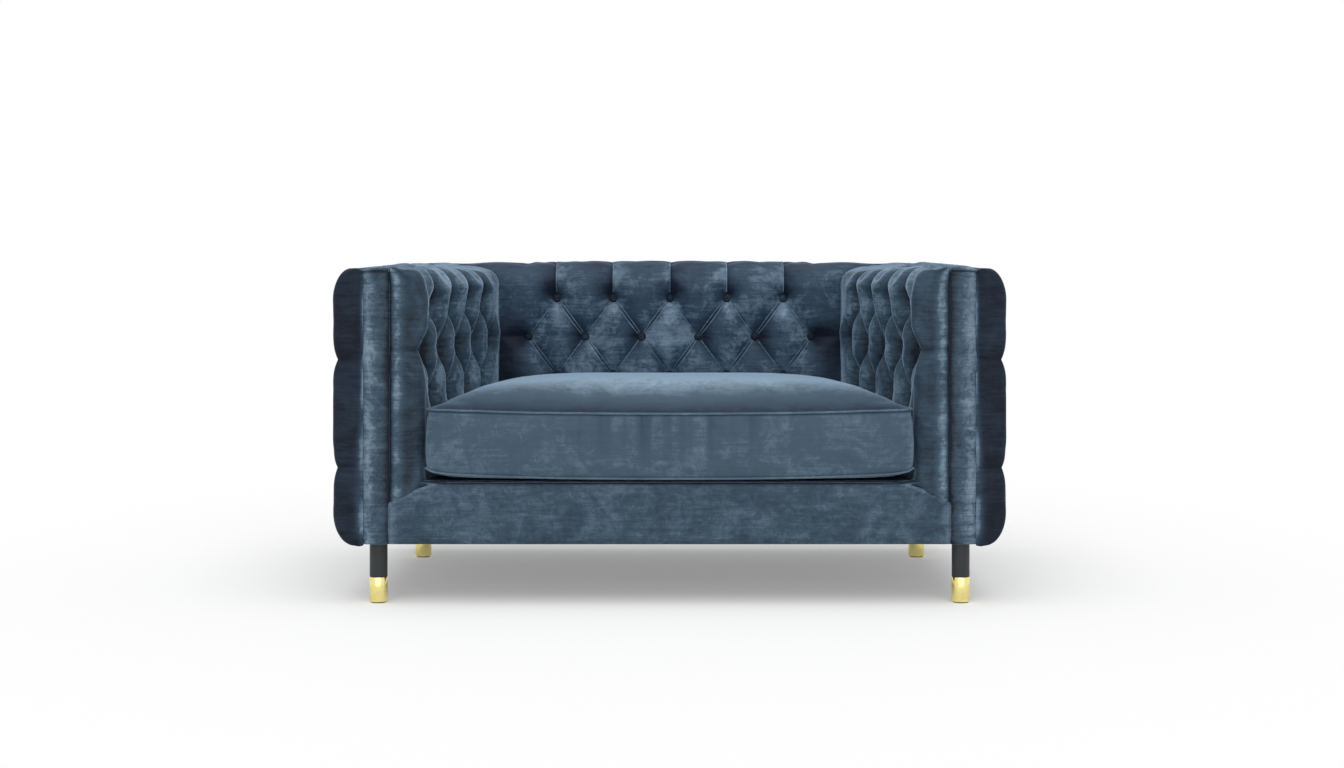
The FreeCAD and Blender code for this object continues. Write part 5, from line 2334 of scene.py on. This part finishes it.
    def piping(self, points: Array, seams: dict[str, Array]) -> None:
        """Piping along both seams.

        Args:
            points: The swollen cover.
            seams: Point numbers of each seam.
        """
        lines = []
        sizes = []
        for numbers in seams.values():
            loop = points[numbers]
            ahead = np.roll(loop, -1, axis=0) - np.roll(loop, 1, axis=0)
            out = vectors(ahead[:, 1], -ahead[:, 0], 0.0)
            out = out / np.linalg.norm(out, axis=1, keepdims=True)
            lines.append(loop + out * 0.6 * self.piping_radius)
            sizes.append(np.full(len(loop), self.piping_radius))
        piece = CordTree(VELVET_PIPING, 10).grow("cushion_piping", lines, sizes, closed=True)
        report(piece, Body.CUSHION, ["seat_cushion_piping"])

    def zip(self) -> None:
        """Teeth on the zip's chain."""
        low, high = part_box("cushion_zip")
        level = (low.z + high.z) / 2
        reach = high.x - self.chain_inset
        line = [(x, high.y - self.tooth_sink, level) for x in (-reach, reach)]
        piece = RowTree(self.tooth, self.tooth_pitch, ZIP_METAL).grow("zip_teeth", line, closed=False)
        report(piece, Body.CUSHION)


@dataclass
class SeatDeck:
    """The platform under the cushion and the dust cover under the frame."""

    layout: Layout
    cell: float = 0.012
    swell: float = 0.004
    edge_reach: float = 0.012
    unevenness: float = 0.0006
    crease: float = 0.0005
    cloth_thickness: float = 0.0009
    clearance: float = 0.0001
    leg_hole: float = 0.0262
    staple: Triple = (0.011, 0.0012, 0.0009)
    staple_pitch: float = 0.034
    staple_inset: float = 0.012
    cover_sag: float = 0.003

    def deck(self) -> None:
        """The padded platform that the cushion lies on."""
        low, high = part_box("deck_pad")
        columns = 1 + round((high.x - low.x) / self.cell)
        rows = 1 + round((high.y - low.y) / self.cell)
        x, y = np.meshgrid(np.linspace(low.x, high.x, columns), np.linspace(low.y, high.y, rows))
        edge = np.minimum(np.minimum(x - low.x, high.x - x), np.minimum(y - low.y, high.y - y))
        dip = self.swell * fading(edge, self.edge_reach)
        waves = np.sin(x * 41.0 + 3.0 * np.sin(y * 17.0)) + np.sin(y * 53.0 + x * 9.0)
        face = vectors(x, y, high.z - dip + self.unevenness * (waves - 2.0))
        back = vectors(x, y, low.z)
        shell = Borders(self.layout, stuffing=Stuffing(pressure=1.0, slack=0.01, cap=0.0))
        piece = shell.padded_shell("deck_platform", face, back, DECK_CLOTH)
        report(piece, Body.SOFA, ["deck_pad"])

    def cloth(self, name: str, node: str, finish: Finish, sag: float,
              cut_outs: Sequence[Triple] = ()) -> None:
        """A thin cloth stretched over the frame.

        Args:
            name: The piece's name.
            node: The CAD node that it stands for.
            finish: Its cloth.
            sag: How far it hangs in the middle.
            cut_outs: X, Y and half size of each square left open.
        """
        low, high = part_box(node)
        x_lines = self.lines(low.x, high.x, [(c[0], c[2]) for c in cut_outs])
        y_lines = self.lines(low.y, high.y, [(c[1], c[2]) for c in cut_outs])
        x, y = np.meshgrid(x_lines, y_lines)
        share_x = (x - low.x) / (high.x - low.x)
        share_y = (y - low.y) / (high.y - low.y)
        bow = np.abs(np.sin(math.pi * share_x) * np.sin(math.pi * share_y))
        hang = sag * bow ** 0.6
        creases = self.crease * np.sin(x * 57.0 + 2.0 * np.sin(y * 31.0)) * np.sin(math.pi * share_y)
        count = x.size
        top = vectors(x, y, high.z - hang + creases - self.clearance).reshape(-1, 3)
        bottom = top - np.array([0.0, 0.0, min(high.z - low.z, self.cloth_thickness)])
        quads = grid_quads(*x.shape)
        middle = top[quads].mean(axis=1)
        keep = np.ones(len(quads), dtype=bool)
        for at_x, at_y, half in cut_outs:
            keep &= ~((np.abs(middle[:, 0] - at_x) < half) & (np.abs(middle[:, 1] - at_y) < half))
        quads = quads[keep]
        faces = np.concatenate([quads, quads[:, ::-1] + count, self.hems(quads, count)])
        points = np.concatenate([top, bottom])
        used = np.unique(faces)
        number = np.zeros(len(points), dtype=int)
        number[used] = np.arange(len(used))
        piece = mesh_piece(name, points[used], number[faces].tolist(), finish, crease=40.0)
        report(piece, Body.SOFA, [node])

    def lines(self, start: float, end: float, cuts: Sequence[Pair]) -> Array:
        """Grid lines that fall on the edges of the cut-outs.

        Args:
            start: First line.
            end: Last line.
            cuts: Middle and half size of each cut-out.

        Returns:
            The lines, in order.
        """
        stops = {start, end}
        for middle, half in cuts:
            stops |= {middle - half, middle + half}
        ordered = sorted(round(stop, 6) for stop in stops)
        found = [ordered[0]]
        for a, b in zip(ordered, ordered[1:]):
            steps = max(1, round((b - a) / (2 * self.cell)))
            found += list(np.linspace(a, b, steps + 1)[1:])
        return np.array(found)

    @staticmethod
    def hems(quads: Array, count: int) -> Array:
        """Narrow faces that join a cloth's two sides along its open edges.

        Args:
            quads: Faces of the upper side.
            count: Number of points on that side.

        Returns:
            The joining faces.
        """
        sides = [np.stack([quads[:, k], quads[:, (k + 1) % 4]], axis=-1) for k in range(4)]
        edges = np.concatenate(sides)
        key = np.sort(edges, axis=1)
        _, first, times = np.unique(key, axis=0, return_index=True, return_counts=True)
        rim = edges[first[times == 1]]
        return np.stack([rim[:, 1], rim[:, 0], rim[:, 0] + count, rim[:, 1] + count], axis=-1)

    def staples(self) -> None:
        """Staples round the dust cover."""
        low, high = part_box("dust_cover")
        inset = self.staple_inset
        x0, x1, y0, y1 = low.x + inset, high.x - inset, low.y + inset, high.y - inset
        level = low.z + self.clearance
        line = [(x0, y0, level), (x1, y0, level), (x1, y1, level), (x0, y1, level)]
        tree = RowTree(self.staple, self.staple_pitch, STEEL)
        piece = tree.grow("dust_cover_staples", line, closed=True)
        report(piece, Body.SOFA)

    def build(self) -> None:
        """Make the platform, the cloths and the staples."""
        self.deck()
        self.cloth("spring_cloth", "deck_cloth", DECK_CLOTH, 0.0)
        places = [(x, y, self.leg_hole) for x, y in leg_places()]
        self.cloth("dust_cloth", "dust_cover", LINING, self.cover_sag, places)
        self.staples()


def leg_places() -> list[Pair]:
    """X and Y of the four legs, from the mounts under their feet."""
    return [tuple(mount["pos_m"][:2]) for mount in frame["record"]["mounts"]]


@dataclass
class Legs:
    """Turned legs with brass ferrules."""

    shaft_radius: float = 0.020
    ferrule_radius: float = 0.0205
    tenon_radius: float = 0.0185
    tenon_length: float = 0.03
    sides: int = 72

    def lathe(self, name: str, outline: Sequence[Pair], finish: Finish) -> Piece:
        """Turn one outline at each leg.

        Args:
            name: The piece's name.
            outline: Radius and height, from the axis at the bottom to the axis at the top.
            finish: The material.

        Returns:
            The piece, with all four legs.
        """
        angle = np.linspace(0.0, 2 * math.pi, self.sides, endpoint=False)
        points = []
        faces = []
        for x, y in leg_places():
            first = len(points)
            points.append((x, y, outline[0][1]))
            for radius, height in outline[1:-1]:
                points += [(x + radius * math.cos(t), y + radius * math.sin(t), height) for t in angle]
            points.append((x, y, outline[-1][1]))
            last = len(points) - 1
            rings = len(outline) - 2
            for k in range(self.sides):
                ahead = (k + 1) % self.sides
                faces.append([first, first + 1 + ahead, first + 1 + k])
                for ring in range(rings - 1):
                    low = first + 1 + ring * self.sides
                    high = low + self.sides
                    faces.append([low + k, low + ahead, high + ahead, high + k])
                top = first + 1 + (rings - 1) * self.sides
                faces.append([top + k, top + ahead, last])
        return mesh_piece(name, np.array(points), faces, finish, crease=35.0)

    def build(self) -> None:
        """Make the shafts and the ferrules."""
        low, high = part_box("leg_ferrules")
        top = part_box("leg_shafts")[1].z
        r = self.ferrule_radius
        ferrule = [
            (0.0, low.z), (r - 0.0022, low.z), (r - 0.0008, low.z + 0.0006), (r, low.z + 0.002),
            (r, high.z - 0.0010), (r - 0.0004, high.z - 0.0002), (r - 0.001, high.z), (0.0, high.z)]
        piece = self.lathe("brass_ferrules", ferrule, BRASS)
        report(piece, Body.SOFA, ["leg_ferrules"])
        s, tenon, foot = self.shaft_radius, self.tenon_radius, high.z - self.tenon_length
        shaft = [
            (0.0, foot), (tenon, foot), (tenon, high.z), (s - 0.0004, high.z + 0.0003),
            (s, high.z + 0.001), (s, top - 0.001), (s - 0.001, top), (0.0, top)]
        piece = self.lathe("leg_turnings", shaft, LEG_LACQUER)
        report(piece, Body.SOFA, ["leg_shafts"])


@dataclass
class Carcass:
    """The CAD pieces that stay as they are and only get their finishes."""

    finishes: dict[str, Finish] = field(default_factory=lambda: {
        "rail": TIMBER, "post": TIMBER, "stretcher": TIMBER, "block": TIMBER, "panel": PLYWOOD,
        "dowel": DOWEL, "spring": SPRING_STEEL, "clip": STEEL, "bolt": STEEL, "nut": STEEL,
        "plate": STEEL, "screw": STEEL, "glide": NYLON, "cushion_zip": ZIP_TAPE, "zip_slider": ZIP_METAL,
    })

    def build(self) -> None:
        """Dress each node by what its name says it is."""
        for name, node in frame["nodes"].items():
            for word, finish in self.finishes.items():
                if word in name:
                    node.data.materials.clear()
                    node.data.materials.append(finish.material())
                    LOG.info("%s: %s", name, finish.name)


@dataclass
class Studio:
    """Pale floor, soft light and the camera."""

    eye: Triple = (0.0053, -4.925, 0.8155)
    shift: float = -0.1072
    lens: float = 54.1
    sky: float = 0.44
    key: float = 1.7
    key_tilt: float = 16.0
    fill: float = 1.0
    fill_tilt: float = 70.0
    spread: float = 70.0
    floor_shade: float = 0.93
    floor_glow: float = 0.26
    floor_reach: float = 40.0
    white_from: float = 1.3
    white_rate: float = 0.8

    def build(self) -> None:
        """Set up the scene."""
        scene = bpy.context.scene
        scene.view_settings.view_transform = "Standard"
        self.camera(scene)
        self.light(scene)
        self.floor()

    def camera(self, scene: bpy.types.Scene) -> None:
        """Stand the camera level in front, with its picture shifted down.

        Args:
            scene: The scene.
        """
        data = bpy.data.cameras.new("camera")
        data.lens = self.lens
        data.sensor_width = 36.0
        data.shift_y = self.shift
        scene.camera = placed("camera", data)
        scene.camera.location = self.eye
        scene.camera.rotation_euler = (math.pi / 2, 0.0, 0.0)

    def light(self, scene: bpy.types.Scene) -> None:
        """A wide soft key from above, a fill from the front and a white surround.

        Args:
            scene: The scene.
        """
        lamps = (("key", self.key, self.key_tilt), ("fill", self.fill, self.fill_tilt))
        for name, power, tilt in lamps:
            lamp = bpy.data.lights.new(name, "SUN")
            lamp.energy = power
            lamp.angle = math.radians(self.spread)
            placed(name, lamp).rotation_euler = (math.radians(tilt), 0.0, 0.0)
        world = bpy.data.worlds.new("surround")
        world.use_nodes = True
        scene.world = world
        net = Net(world.node_tree)
        strength = self.sky + (1.0 - self.sky) * self.seen(net.node("ShaderNodeLightPath"))
        background = world.node_tree.nodes["Background"]
        net.feed(background, {"Color": (1.0, 1.0, 1.0, 1.0), "Strength": strength})

    @staticmethod
    def seen(ray: Wire) -> Wire:
        """One where the background itself is looked at or mirrored.

        Args:
            ray: Any output of a Light Path node.

        Returns:
            The share.
        """
        outputs = ray.socket.node.outputs
        names = ("Is Camera Ray", "Is Glossy Ray", "Is Transmission Ray")
        camera, glossy, through = (Wire(ray.net, outputs[name]) for name in names)
        return (camera + glossy + through).at_most(1.0)

    def floor(self) -> None:
        """A pale floor that runs out into white."""
        mesh = bpy.data.meshes.new("floor")
        reach = self.floor_reach
        corners = [(-reach, -reach, 0.0), (reach, -reach, 0.0), (reach, reach, 0.0), (-reach, reach, 0.0)]
        mesh.from_pydata(corners, [], [(0, 1, 2, 3)])
        floor = placed("floor", mesh)
        shader = Shader("pale_floor")
        shade = self.floor_shade
        shader.dress({
            "Base Color": (shade, shade, shade, 1.0), "Roughness": 0.9, "Specular IOR Level": 0.1})
        at = shader.node("ShaderNodeTexCoord", output=3)
        away = shader.node("ShaderNodeVectorMath", {"operation": "LENGTH"}, {0: at}, 1)
        far = ((away - self.white_from) * self.white_rate).at_least(self.floor_glow).at_most(1.0)
        seen = self.seen(shader.node("ShaderNodeLightPath"))
        white = shader.node("ShaderNodeEmission", None, {"Color": (1.0, 1.0, 1.0, 1.0), "Strength": 1.0})
        pale = Wire(shader, shader.surface.outputs[0])
        mixed = shader.node("ShaderNodeMixShader", None, {0: far * seen, 1: pale, 2: white})
        shader.feed(shader.tree.nodes["Material Output"], {"Surface": mixed})
        mesh.materials.append(shader.material)


def main() -> None:
    """Build the sofa's pieces in order."""
    logging.basicConfig(level=logging.INFO, format="%(name)s: %(message)s")
    layout = Layout.from_frame()
    Studio().build()
    Carcass().build()
    Legs().build()
    Buttoning(layout).build()
    Borders(layout).build()
    SeatDeck(layout).build()
    SeatCushion(layout).build()


if __name__ == "__main__":
    main()
